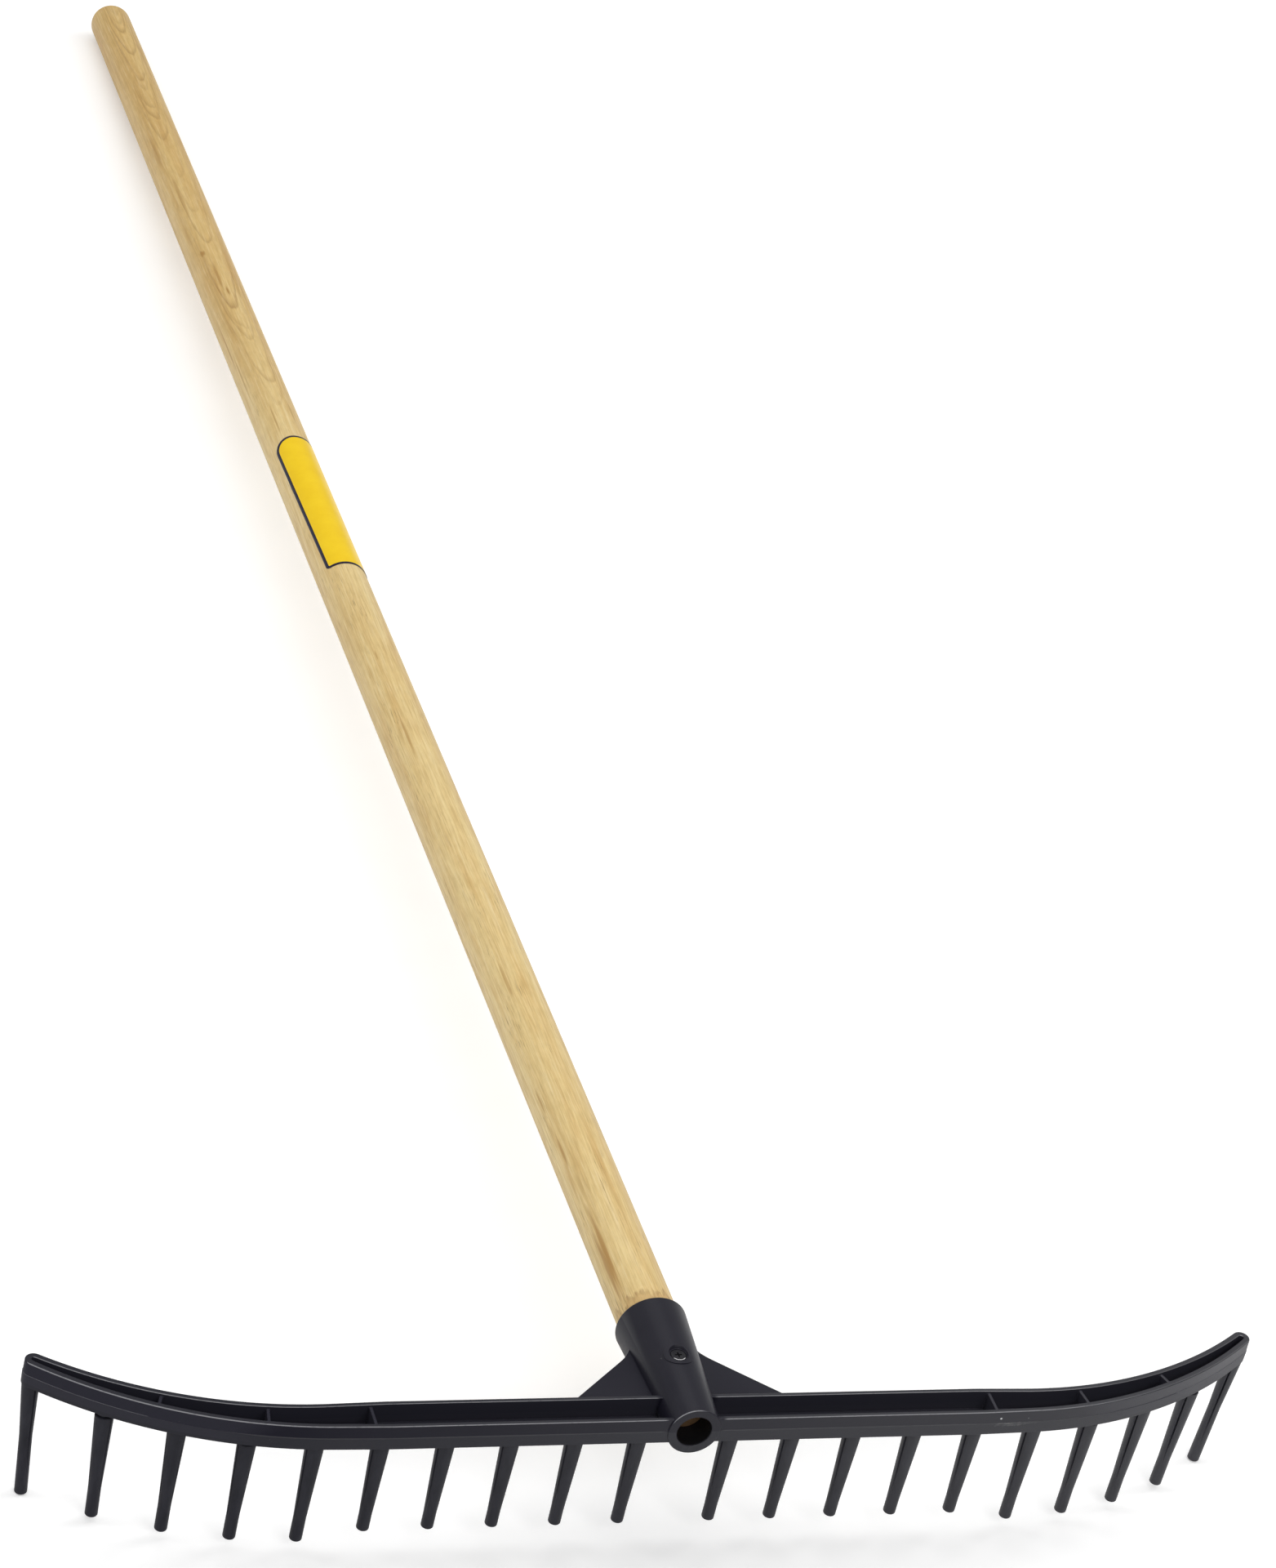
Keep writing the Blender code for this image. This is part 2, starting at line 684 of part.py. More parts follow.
def stand_on_floor(items, head_items, handle):
    """Hang every piece on one empty, lean it back, and put the middle of its box over the origin."""
    stand = bpy.data.objects.new("rake", None)
    bpy.context.scene.collection.objects.link(stand)
    for item in items:
        item.parent = stand
    bpy.context.view_layer.update()
    stand.rotation_euler.x = lean_angle(world_points(head_items), world_points([handle]))
    bpy.context.view_layer.update()
    points = world_points(items)
    low = [min(p[axis] for p in points) for axis in range(3)]
    high = [max(p[axis] for p in points) for axis in range(3)]
    stand.location = (-(low[0] + high[0]) / 2, -(low[1] + high[1]) / 2, -low[2])
    bpy.context.view_layer.update()
    return stand


clear_scene()
black_plastic = make_material("black_plastic", (0.030, 0.031, 0.035), 0.42)
pale_wood = make_material("pale_wood", (0.62, 0.46, 0.22), 0.55)
dark_steel = make_material("dark_steel", (0.06, 0.06, 0.065), 0.4, 0.9)
yellow_label = make_material("yellow_label", (0.90, 0.56, 0.02), 0.35)

head = make_head()
plug_tines = make_plug_tines()
handle = make_handle()
screw = make_screw()
label = make_label()
stand_on_floor([head, *plug_tines, handle, screw, label], [head, *plug_tines], handle)
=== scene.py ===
# %% [markdown]
# # A bunker rake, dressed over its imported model
#
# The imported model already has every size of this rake: a moulded plastic head with a hollow beam
# and twenty round tines, a long wooden handle, one screw and one sticker. This script loads that
# model as a fixed frame and builds the pieces that are looked at: finer curves, rounded edges and
# worked-out finishes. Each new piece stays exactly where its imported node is.

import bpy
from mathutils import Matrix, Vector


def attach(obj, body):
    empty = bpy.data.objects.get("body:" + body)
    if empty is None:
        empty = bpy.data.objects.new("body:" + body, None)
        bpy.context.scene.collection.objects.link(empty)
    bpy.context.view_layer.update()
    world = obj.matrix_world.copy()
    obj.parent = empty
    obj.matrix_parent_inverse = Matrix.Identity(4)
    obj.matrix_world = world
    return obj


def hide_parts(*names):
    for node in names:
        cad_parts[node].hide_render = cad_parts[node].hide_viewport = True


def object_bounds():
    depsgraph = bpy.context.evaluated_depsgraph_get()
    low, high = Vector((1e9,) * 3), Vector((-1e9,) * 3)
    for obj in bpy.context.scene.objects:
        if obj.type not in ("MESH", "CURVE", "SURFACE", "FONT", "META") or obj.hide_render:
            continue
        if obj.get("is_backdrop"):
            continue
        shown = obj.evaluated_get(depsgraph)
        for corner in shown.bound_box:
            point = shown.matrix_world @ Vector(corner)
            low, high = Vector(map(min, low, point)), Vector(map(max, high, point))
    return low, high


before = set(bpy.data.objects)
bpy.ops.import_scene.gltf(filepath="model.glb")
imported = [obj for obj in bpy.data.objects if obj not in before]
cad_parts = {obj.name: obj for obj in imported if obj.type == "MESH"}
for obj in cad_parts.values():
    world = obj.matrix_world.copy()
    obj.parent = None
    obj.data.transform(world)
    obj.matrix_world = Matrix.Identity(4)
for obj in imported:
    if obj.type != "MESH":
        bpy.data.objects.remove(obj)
packed_box = [list(corner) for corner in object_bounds()]

import math

import bmesh
import bpy
from mathutils import Matrix, Vector

MM = 0.001
print("packed nodes:", len(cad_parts), "box:", packed_box)

# %% [markdown]
# ## Two frames
#
# The head is easiest to draw in a frame of its own: X along the beam, Y along the handle towards
# its butt, and Z up, with the socket's axis on the Y axis. The rake stands on its end tines and on
# the butt of its handle, so the whole of it leans back by about two degrees. One matrix carries a
# mesh from the head's frame to the floor's frame. It is applied to the mesh and not to the object,
# so that every object stays at the origin, unturned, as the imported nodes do.

# %% The matrix that stands the rake on the floor
LEAN = math.radians(-2.0999005)
STAND = Matrix.Translation((0, -0.7745113, 0.0710122)) @ Matrix.Rotation(LEAN, 4, "X")
print("socket axis starts at", tuple(round(c, 4) for c in STAND @ Vector((0, 0, 0))))

# %% [markdown]
# ## Helpers for every piece
#
# Most pieces of a rake are round, so the helper used most is the one that turns a profile: a few
# vertices, joined by edges, are spun right round an axis, and the seam is merged. A finished mesh
# gets smooth shading with its real edges kept sharp. Weighted normals keep the large flat faces
# flat, so that only the rounded edges catch the light.

# %% Turn a profile of (radius, height) points about Z
MERGE_DISTANCE = 0.002 * MM


def turned(profile, steps):
    bm = bmesh.new()
    verts = [bm.verts.new((radius, 0, height)) for radius, height in profile]
    edges = [bm.edges.new(pair) for pair in zip(verts, verts[1:])]
    bmesh.ops.spin(
        bm, geom=verts + edges, cent=(0, 0, 0), axis=(0, 0, 1),
        angle=math.tau, steps=steps, use_merge=True,
    )
    bmesh.ops.remove_doubles(bm, verts=bm.verts, dist=MERGE_DISTANCE)
    bmesh.ops.recalc_face_normals(bm, faces=bm.faces)
    return bm


def turn(bm, angle, axis):
    bmesh.ops.rotate(bm, verts=bm.verts, cent=(0, 0, 0), matrix=Matrix.Rotation(angle, 3, axis))


def turned_along_y(profile, steps):
    bm = turned(profile, steps)
    turn(bm, -math.pi / 2, "X")
    return bm


def rod(radius, low, high, steps):
    return turned([(0, low), (radius, low), (radius, high), (0, high)], steps)


# %% Make a block, move a bmesh, and round its edges
def block(width, depth, height):
    bm = bmesh.new()
    bmesh.ops.create_cube(bm, size=1)
    bmesh.ops.scale(bm, verts=bm.verts, vec=(width, depth, height))
    return bm


def move(bm, x, y, z):
    bmesh.ops.translate(bm, verts=bm.verts, vec=(x, y, z))
    return bm


def round_edges(bm, geom, radius, segments=3, affect="EDGES"):
    bmesh.ops.bevel(
        bm, geom=geom, offset=radius, offset_type="OFFSET", segments=segments,
        profile=0.5, affect=affect, clamp_overlap=True, material=-1,
    )


def verts_of(geom):
    return [item for item in geom if isinstance(item, bmesh.types.BMVert)]


def edges_at(verts):
    """Each edge at the vertices once, in the same order in every run, as a set would not be."""
    return list(dict.fromkeys(edge for vert in verts if vert.is_valid for edge in vert.link_edges))


# %% Make a mesh of a bmesh, and an object of a mesh
def mesh_of(name, bm):
    mesh = bpy.data.meshes.new(name)
    bm.to_mesh(mesh)
    bm.free()
    return mesh


def in_scene(name, data):
    item = bpy.data.objects.new(name, data)
    bpy.context.scene.collection.objects.link(item)
    return item


def add_to(target, source, matrix=Matrix()):
    mesh = mesh_of("joined", source)
    mesh.transform(matrix)
    target.from_mesh(mesh)
    bpy.data.meshes.remove(mesh)


# %% Make a finished piece
def make_piece(name, bm, materials, nodes, sharp=32):
    bmesh.ops.transform(bm, matrix=STAND, verts=bm.verts)
    mesh = mesh_of(name, bm)
    for material in materials:
        mesh.materials.append(material)
    mesh.shade_smooth()
    mesh.set_sharp_from_angle(angle=math.radians(sharp))
    piece = in_scene(name, mesh)
    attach(piece, "root")
    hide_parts(*nodes)
    return piece


def weigh_normals(piece):
    weighted = piece.modifiers.new("Weighted normals", "WEIGHTED_NORMAL")
    weighted.keep_sharp = True
    weighted.weight = 60


# %% [markdown]
# The moulded head is one piece of plastic, so its parts are joined with exact Booleans. They are
# applied one at a time, and corners that end in one place are merged after each.

# %% Combine two bmeshes as solids
WELD_DISTANCE = 0.001 * MM


def combined(body, operation, tool):
    one, other = in_scene("body", mesh_of("body", body)), in_scene("tool", mesh_of("tool", tool))
    step = one.modifiers.new("Combine", "BOOLEAN")
    step.operation = operation
    step.solver = "EXACT"
    step.object = other
    result = bmesh.new()
    result.from_object(one, bpy.context.evaluated_depsgraph_get())
    for item in (one, other):
        bpy.data.objects.remove(item, do_unlink=True)
    bmesh.ops.remove_doubles(result, verts=result.verts, dist=WELD_DISTANCE)
    bmesh.ops.dissolve_degenerate(result, edges=result.edges, dist=WELD_DISTANCE)
    return result


def report(name, bm):
    open_edges = sum(1 for edge in bm.edges if not edge.is_manifold)
    print(name, "faces:", len(bm.faces), "open edges:", open_edges)


# %% [markdown]
# ## Building materials from nodes
#
# Every finish here is procedural: it reads Object coordinates, which are metres in the floor's
# frame, so the grain of a finish has its true size. One Mapping node turns and shifts them into
# the head's frame, where y runs along the handle and z = 0 is the plane where the mould halves
# meet. A small class keeps the node code short: it adds a node, sets its plain values, and links
# what is passed as a socket.
#
# A finish is then painted in layers. Each layer says where it lies, from 0 to 1, and its colour.
# Most of them lie where a value crosses a short span, such as a height in millimetres.

# %% A short way to build node trees
class Finish:
    def __init__(self, name):
        self.material = bpy.data.materials.new(name)
        self.material.use_nodes = True
        self.tree = self.material.node_tree
        self.colour = None

    def feed(self, socket, value):
        if isinstance(value, bpy.types.NodeSocket):
            self.tree.links.new(value, socket)
        else:
            socket.default_value = value

    def node(self, kind, inputs=None, **settings):
        made = self.tree.nodes.new(kind)
        for name, value in settings.items():
            setattr(made, name, value)
        for name, value in (inputs or {}).items():
            self.feed(made.inputs[name], value)
        return made

    def surface(self, inputs):
        shader = self.tree.nodes["Principled BSDF"]
        for name, value in inputs.items():
            self.feed(shader.inputs[name], value)
        return self.material

    def math(self, operation, *values):
        made = self.node("ShaderNodeMath", operation=operation)
        for socket, value in zip(made.inputs, values):
            self.feed(socket, value)
        return made.outputs[0]

    def chain(self, operation, first, *others):
        for value in others:
            first = self.math(operation, first, value)
        return first

    def times(self, *values):
        return self.chain("MULTIPLY", *values)

    def plus(self, *values):
        return self.chain("ADD", *values)

    def larger(self, *values):
        return self.chain("MAXIMUM", *values)

    def size(self, value):
        return self.math("ABSOLUTE", value)

    def distance(self, first, second):
        squares = [self.math("POWER", value, 2) for value in (first, second)]
        return self.math("SQRT", self.plus(*squares))

    def length(self, vector):
        return self.node("ShaderNodeVectorMath", {0: vector}, operation="LENGTH").outputs["Value"]

    def axes(self, vector):
        return self.node("ShaderNodeSeparateXYZ", {"Vector": vector}).outputs

    def mapped(self, vector, **changes):
        return self.node("ShaderNodeMapping", {"Vector": vector, **changes}).outputs[0]

    def in_head_frame(self):
        coordinates = self.node("ShaderNodeTexCoord").outputs["Object"]
        shift = Matrix.Rotation(-LEAN, 3, "X") @ -STAND.to_translation()
        return self.mapped(coordinates, Location=shift, Rotation=(-LEAN, 0, 0))

    def span(self, value, low, high, to_low=0.0, to_high=1.0):
        """Goes from one number to another while the value goes from low to high."""
        ends = {"From Min": low, "From Max": high, "To Min": to_low, "To Max": to_high}
        return self.node("ShaderNodeMapRange", {"Value": value, **ends}).outputs[0]

    def span_mm(self, value, low, high, to_low=0.0, to_high=1.0):
        return self.span(value, low * MM, high * MM, to_low, to_high)

    def noise(self, vector, scale, detail, roughness=0.5, shift=(0, 0, 0), distortion=0.0):
        """Noise with so many waves to a metre: one number, or one for each axis."""
        if isinstance(scale, tuple):
            vector, scale = self.mapped(vector, Scale=scale, Location=shift), 1
        values = {"Vector": vector, "Scale": scale, "Detail": detail}
        values.update({"Roughness": roughness, "Distortion": distortion})
        return self.node("ShaderNodeTexNoise", values).outputs["Fac"]

    def mark(self, vector, centre, size, ragged=None):
        """One in the middle of an ellipsoid given in mm, zero outside; ragged roughens its edge."""
        scale = [1 / (reach * MM) for reach in size]
        shift = [-place / reach for place, reach in zip(centre, size)]
        far = self.length(self.mapped(vector, Scale=scale, Location=shift))
        if ragged:
            far = self.plus(far, self.span(ragged, 0.3, 0.7, -0.45, 0.45))
        return self.span(far, 1.0, 0.45)

    def ramp(self, factor, stops):
        made = self.node("ShaderNodeValToRGB", {"Fac": factor})
        points = made.color_ramp.elements
        points[0].position, points[0].color = stops[0][0], (*stops[0][1], 1)
        points[1].position, points[1].color = stops[-1][0], (*stops[-1][1], 1)
        for position, colour in stops[1:-1]:
            points.new(position).color = (*colour, 1)
        return made.outputs["Color"]

    def mix(self, factor, first, second, blend="MIX"):
        made = self.node("ShaderNodeMix", data_type="RGBA", blend_type=blend)
        for index, value in ((0, factor), (6, first), (7, second)):
            self.feed(made.inputs[index], (*value, 1) if isinstance(value, tuple) else value)
        return made.outputs[2]

    def paint(self, where, colour, blend="MIX"):
        self.colour = self.mix(where, self.colour, colour, blend)

    def bump(self, height, depth, strength):
        values = {"Height": height, "Distance": depth, "Strength": strength}
        return self.node("ShaderNodeBump", values).outputs[0]


# %% [markdown]
# ## Sizes that finishes and shapes share
#
# The finishes darken the channel, brighten the rim and mark the wood at set places, so they need
# some of the sizes before any shape is made. The beam is straight in the middle. Its ends sweep
# back on an arc, which is found from how far and how much they sweep.

# %% Where the beam, the socket, the handle and the screw are
FIRST_TINE = 22 * MM
TINE_PITCH = 30 * MM
LAST_TINE = 292 * MM
STRAIGHT_HALF = 166 * MM
END_SWEEP = 41.5 * MM
BEND_REACH = LAST_TINE - STRAIGHT_HALF
BEND_RADIUS = (BEND_REACH ** 2 + END_SWEEP ** 2) / (2 * END_SWEEP)
BEND_ANGLE = math.asin(BEND_REACH / BEND_RADIUS)
MOUTH = 64.8 * MM
HANDLE_FRONT = 4 * MM
HANDLE_RADIUS = 14.3 * MM
SCREW_PLACE = 27.5 * MM
bend_degrees = math.degrees(BEND_ANGLE)
print("bend radius, mm:", round(BEND_RADIUS / MM, 1), "turns", round(bend_degrees, 1), "degrees")

# %% [markdown]
# ### Black plastic
# The head is a satin black polypropylene with a blue cast. Up close such a moulding is not one
# flat black: the mould's spark-eroded grain breaks up the gloss, flow marks make slow changes of
# tone, and handling leaves pale scuffs. Everything below the parting plane is a little duller, and
# it is painted a little lighter and greyer than what is above it: a painted reflection of the pale
# floor that the lower half faces, with the upper half in painted shade. Two bright nicks and a
# smear sit on the front wall, just before the right-hand bend.
#
# Painted highlights lie along the thin edges that stand proud: the rims of the channel, the edge
# of the front ring and the edges of the webs. They are painted lines of light, placed where a
# rounded edge faces the light. They are found from the normal, which turns quickly over a rounded
# edge, and from the height of the edge in the head's frame.

# %% Where the plastic is marked, and its tones
NICKS = [((149.7, -9, 2.6), (0.8, 1, 0.75), 1.0), ((163.7, -9, 2.2), (0.9, 1, 0.8), 0.55)]
SMEAR = ((157, -9, -0.8), (13, 1.5, 1.3))
HIGHLIGHT_SIDE = Vector((-0.3, -0.67, 0.68)).normalized()
# The upper and lower tones are shaded and lit copies of one black: the lower one is painted lighter,
# a painted reflection of the pale floor.
UPPER_SHADED_TONES = [(0.3, (0.0105, 0.0100, 0.0180)), (0.7, (0.0140, 0.0135, 0.0215))]
LOWER_FLOOR_LIT_TONES = [(0.3, (0.0190, 0.0190, 0.0265)), (0.7, (0.0240, 0.0240, 0.0315))]
TINE_MOTTLE = [(0.3, (0.72, 0.72, 0.74)), (0.7, (1.2, 1.2, 1.2))]
# Painted light and shade that follow the shape: a sheen on the rim's top, a highlight on the parting
# slope, light in the channel, and shade in the bore.
RIM_TOP_SHEEN_TONE = (0.034, 0.034, 0.041)
PARTING_HIGHLIGHT_TONE = (0.075, 0.075, 0.082)
CHANNEL_FILL_LIGHT_TONE = (0.0260, 0.0255, 0.0360)
BORE_SHADE_TONE = (0.0045, 0.0045, 0.0060)
SCUFF_TONE = (0.16, 0.16, 0.16)
# The colour of the painted highlight lines on the edges that face the light.
EDGE_HIGHLIGHT_TONE = (0.36, 0.36, 0.38)
NICK_TONE = (0.80, 0.81, 0.83)


# Painted highlights: where a rounded edge faces up and to the front, or a web's edge turns upward.
def painted_edge_highlights(finish, place):
    x, y, z = finish.axes(place)
    normal = finish.node("ShaderNodeNewGeometry").outputs["Normal"]
    sides = {0: normal, 1: HIGHLIGHT_SIDE}
    facing = finish.node("ShaderNodeVectorMath", sides, operation="DOT_PRODUCT").outputs["Value"]
    rim = finish.times(finish.span_mm(z, 5.6, 5.9), finish.span_mm(finish.size(x), 13, 15))
    upper_left = finish.times(finish.span_mm(z, 3, 6), finish.span_mm(x, 6, 1))
    ring = finish.times(finish.span_mm(y, -8.6, -8.9), upper_left)
    front = finish.times(finish.span(facing, 0.84, 0.95), finish.larger(rim, ring))
    upward = finish.axes(normal)[2]
    on_web = finish.times(finish.span_mm(y, 9.2, 9.8), finish.span_mm(finish.size(z), 1.6, 1.5))
    web = finish.times(finish.span(upward, 0.2, 0.5), finish.span(upward, 0.98, 0.9), on_web)
    return finish.larger(front, finish.times(web, 0.35))


# %% [markdown]
# Some tones follow the shape, and most of them are painted light and shade. The flat top of the
# rim is painted paler, a painted sheen from the light above, and the small slope where the mould
# halves meet gets a painted highlight line. The walls inside the channel are painted paler too,
# painted light in the hollow, and the bore of the socket is painted darker, painted shade. The
# tines are mottled down their length. The tones of the beam follow its centre line, so the finish
# works out how far a place lies behind that line.

# %% The tones that follow the shape: painted light and shade, and a mottle
def behind_beam_middle(finish, x, y):
    """How far a place lies behind the beam's centre line, which sweeps back at both ends."""
    outward = finish.larger(finish.plus(finish.size(x), -STRAIGHT_HALF), 0.0)
    reach = finish.math("SUBTRACT", BEND_RADIUS ** 2, finish.math("POWER", outward, 2))
    swept = finish.math("SUBTRACT", BEND_RADIUS, finish.math("SQRT", reach))
    return finish.math("SUBTRACT", y, swept)


def paint_shape_light_and_tones(finish, place):
    x, y, z = finish.axes(place)
    streaks = finish.noise(place, (260, 260, 60), 3, 0.6, shift=(2, 5, 1))
    finish.paint(finish.span_mm(z, -6, -9), finish.ramp(streaks, TINE_MOTTLE), "MULTIPLY")
    aside = finish.span_mm(finish.size(x), 13, 15)
    # The flat top of the rim is painted paler: a painted sheen from the light above.
    finish.paint(finish.times(finish.span_mm(z, 6.2, 6.45, 0, 0.9), aside), RIM_TOP_SHEEN_TONE)
    behind = behind_beam_middle(finish, x, y)
    # The slope at the parting line is painted paler: a painted highlight line.
    at_parting = finish.span_mm(finish.size(z), 0.30, 0.15, 0, 0.5)
    in_front = finish.span_mm(behind, -2, -3)
    finish.paint(finish.times(at_parting, aside, in_front), PARTING_HIGHLIGHT_TONE)
    # The walls inside the channel are painted paler: painted light in the hollow.
    between_walls = finish.span_mm(finish.size(behind), 7.4, 7.0)
    below_rim, above_floor = finish.span_mm(z, 6.1, 5.9), finish.span_mm(z, -4.6, -4.4)
    finish.paint(finish.times(between_walls, below_rim, aside, above_floor), CHANNEL_FILL_LIGHT_TONE)
    # The bore of the socket is painted darker: painted shade.
    in_bore = finish.span_mm(finish.distance(x, z), 8.7, 8.4)
    finish.paint(finish.times(in_bore, finish.span_mm(y, -9.2, -8.2)), BORE_SHADE_TONE)


# %% [markdown]
# The plastic is duller at the left-hand end of the beam and glossier at the right-hand one. It is
# rougher on the lower half and where it is scuffed. The gloss gets one plain value first, for a
# viewer that does not follow the nodes.

# %% The finish of the black plastic
PLAIN_GLOSS = 0.35
LEFT_END, RIGHT_END = -0.20, 0.24


def black_plastic_finish():
    finish = Finish("black_plastic_satin")
    place = finish.in_head_frame()
    x, _, z = finish.axes(place)
    flow = finish.noise(place, 18, 3, 0.55, distortion=0.6)
    grain = finish.noise(place, 2600, 2, 0.6)
    specks = finish.noise(place, (420, 420, 420), 4, 0.7, shift=(3.1, 1.7, 0.4))
    brushed = finish.noise(place, (160, 900, 1700), 3, 0.6)
    lower_half = finish.span_mm(z, 0.05, -0.05)
    # Below the parting plane the plastic is painted lighter (painted reflection of the floor), and
    # above it darker (painted shade).
    upper, lower = finish.ramp(flow, UPPER_SHADED_TONES), finish.ramp(flow, LOWER_FLOOR_LIT_TONES)
    finish.colour = finish.mix(lower_half, upper, lower)
    paint_shape_light_and_tones(finish, place)
    smear = finish.times(finish.mark(place, *SMEAR, specks), finish.span(brushed, 0.40, 0.66))
    scuffs = finish.times(finish.span(specks, 0.70, 0.76), 0.4)
    worn = finish.larger(scuffs, finish.times(smear, 0.9))
    finish.paint(worn, SCUFF_TONE)
    # Painted highlight lines along the edges that face the light, a little uneven in strength.
    uneven = finish.span(specks, 0.3, 0.5, 0.42, 0.68)
    finish.paint(finish.times(painted_edge_highlights(finish, place), uneven), EDGE_HIGHLIGHT_TONE)
    for centre, size, strength in NICKS:
        finish.paint(finish.times(finish.mark(place, centre, size), strength), NICK_TONE)
    rough = finish.plus(
        finish.span(flow, 0.3, 0.7, 0.33, 0.41), finish.span(grain, 0.3, 0.7, -0.03, 0.05),
        finish.times(lower_half, 0.10), finish.times(worn, 0.25),
    )
    upper_gloss = finish.span(x, LEFT_END, RIGHT_END, 0.05, 0.60)
    lower_gloss = finish.span(x, LEFT_END, RIGHT_END, 0.14, 0.62)
    finish.surface({"Specular IOR Level": PLAIN_GLOSS})
    return finish.surface({
        "Base Color": finish.colour,
        "Roughness": rough,
        "Specular IOR Level": finish.mix(lower_half, upper_gloss, lower_gloss),
        "IOR": 1.49,
        "Normal": finish.bump(grain, 0.04 * MM, 0.35),
    })


black_plastic = black_plastic_finish()
print("finish:", black_plastic.name, "nodes:", len(black_plastic.node_tree.nodes))

# %% [markdown]
# ### Pale wood
#
# The handle is a pale hardwood under a thin clear coat. Wood is a stack of growth rings, and a pole
# slices them. Along most of it the rings run straight, as fine lines. Towards the butt they run
# out through the top of the pole and show as arches: a blunt point towards the head, and two arms
# that soon run nearly straight. Each arch is one growth ring, so it has a place of its own along
# the pole. The finish unrolls the pole: from the distance round it, measured from the side where
# the arches have their points, and the distance along it, comes one number that is the same all
# along one arch. A ring is then a thin line in that number, sharp towards the head, where the
# year's growth ended, and soft towards the butt.

# %% Where the growth rings are, and what an arch looks like
ARCH_SIDE = math.radians(95)
ARCH_WIDTH = 2.9 * MM
ARCH_DEPTH = 5 * MM
ARCH_POWER = 2.6
ARM_WIDTH = 0.9 * MM
POINT_LENGTH = 8 * MM
ARCHES = [
    # where the point is, in mm along the pole, and strength
    (1546, 0.35), (1533, 0.45), (1517, 0.40), (1501, 0.85), (1462, 0.85), (1419, 1.0),
    (1405, 0.45), (1373, 0.55), (1355, 0.75), (1321, 0.55), (1262, 0.40), (1206, 0.35),
    (1162, 0.85), (1066, 0.90), (1040, 0.35), (1023, 0.60), (964, 0.80), (935, 0.45),
]


def wood_arches(finish, place):
    along = finish.axes(place)[1]
    turned_back = finish.mapped(place, Rotation=(0, ARCH_SIDE - math.pi / 2, 0))
    x, _, z = finish.axes(turned_back)
    drift = finish.noise(place, (30, 9, 30), 1)
    wobble = finish.noise(place, (170, 34, 170), 2, 0.6)
    round_pole = finish.plus(
        finish.times(finish.math("ARCTAN2", x, z), HANDLE_RADIUS),
        finish.span(drift, 0.3, 0.7, -2.0 * MM, 2.0 * MM),
        finish.span(wobble, 0.3, 0.7, -0.5 * MM, 0.5 * MM),
    )
    share = finish.size(finish.times(round_pole, 1 / ARCH_WIDTH))
    along = finish.math("MULTIPLY_ADD", finish.math("POWER", share, ARCH_POWER), -ARCH_DEPTH, along)
    along = finish.plus(along, finish.span(wobble, 0.3, 0.7, 3 * MM, -3 * MM))
    bent = finish.math("POWER", share, ARCH_POWER - 1)
    steepness = finish.times(bent, ARCH_POWER * ARCH_DEPTH / ARCH_WIDTH)
    length = finish.math("MULTIPLY_ADD", steepness, ARM_WIDTH, POINT_LENGTH)
    rings = 0.0
    for point, strength in ARCHES:
        behind = finish.math("DIVIDE", finish.plus(along, -point * MM), length)
        edge, fade = finish.span(behind, -0.25, 0.05, 0, strength), finish.span(behind, 1.0, 0.1)
        rings = finish.larger(finish.times(edge, fade), rings)
    patch = finish.noise(place, (60, 14, 60), 2, shift=(5, 1, 2))
    near_point = finish.span(share, 3.6, 2.0, 0.4, 1.0)
    return finish.times(rings, near_point, finish.span(patch, 0.36, 0.60, 0.35, 1.0))


# %% [markdown]
# Under the rings go the finer parts of real wood: pale and dark streaks of fibre, short dark pores,
# and a faint mottle across the grain. A few natural marks have places of their own: a knot, some
# brown streaks, and fibres that were crushed when the pole was driven into its socket. Each colour
# below is one layer of that paint, except one: the wood is painted darker and yellower towards the
# butt, which is painted shade, as the far end of the pole gets less light.

# %% Where the marks in the wood are, and its colours
BROWN_MARKS = [
    # degrees round the pole, mm along it, half width and half length in mm, strength
    (151, 99, 2.6, 27, 0.85), (144, 112, 1.5, 30, 0.80), (152, 228, 0.9, 14, 0.70),
    (149, 188, 0.9, 15, 0.75), (122, 322, 1.1, 20, 0.55), (116, 553, 1.0, 22, 0.60),
    (140, 1305, 2.0, 26, 0.45), (124, 1235, 1.3, 34, 0.50), (165, 1030, 0.8, 40, 0.70),
    (158, 985, 0.7, 30, 0.60), (118, 918, 0.8, 22, 0.65), (67, 927, 0.9, 16, 0.60),
    (111, 638, 0.5, 7, 0.80), (97, 681, 0.6, 4, 0.80), (103, 1091, 1.1, 8, 1.0),
    (113, 1114, 1.3, 26, 0.75), (127, 1149, 2.2, 5, 0.95),
]
WOOD_TONES = [(0.3, (0.73, 0.515, 0.208)), (0.5, (0.80, 0.60, 0.263)), (0.7, (0.87, 0.69, 0.336))]
MOTTLE_TONES = [(0.3, (0.90, 0.885, 0.86)), (0.7, (1, 1, 1))]
PALE_STREAK, DARK_STREAK = (0.93, 0.78, 0.47), (0.57, 0.36, 0.12)
PALE_HAIR, DARK_HAIR = (0.95, 0.83, 0.55), (0.46, 0.28, 0.09)
AMBER_STREAK = (0.63, 0.38, 0.11)
RING_TONE = (0.40, 0.21, 0.055)
BUTT_SHADE_TONE = (0.88, 0.80, 0.67)
PORE_TONE = (0.28, 0.15, 0.05)
BROWN_TONE = (0.44, 0.235, 0.055)
CRUSHED_TONE, TORN_TONE = (0.55, 0.33, 0.12), (0.34, 0.175, 0.05)
END_GRAIN_TONE = (0.24, 0.14, 0.068)


def crushed_fibres(finish, place, y):
    """How far a place is beyond the crushed fibres, which end in a jagged line."""
    slow = finish.noise(place, (130, 20, 130), 1)
    jags = finish.noise(place, (420, 110, 420), 3, 0.65)
    reach = finish.plus(
        finish.span(slow, 0.35, 0.65, 1 * MM, 10 * MM), finish.span(jags, 0.3, 0.7, -3 * MM, 3 * MM)
    )
    return finish.math("SUBTRACT", finish.math("SUBTRACT", y, MOUTH), reach)


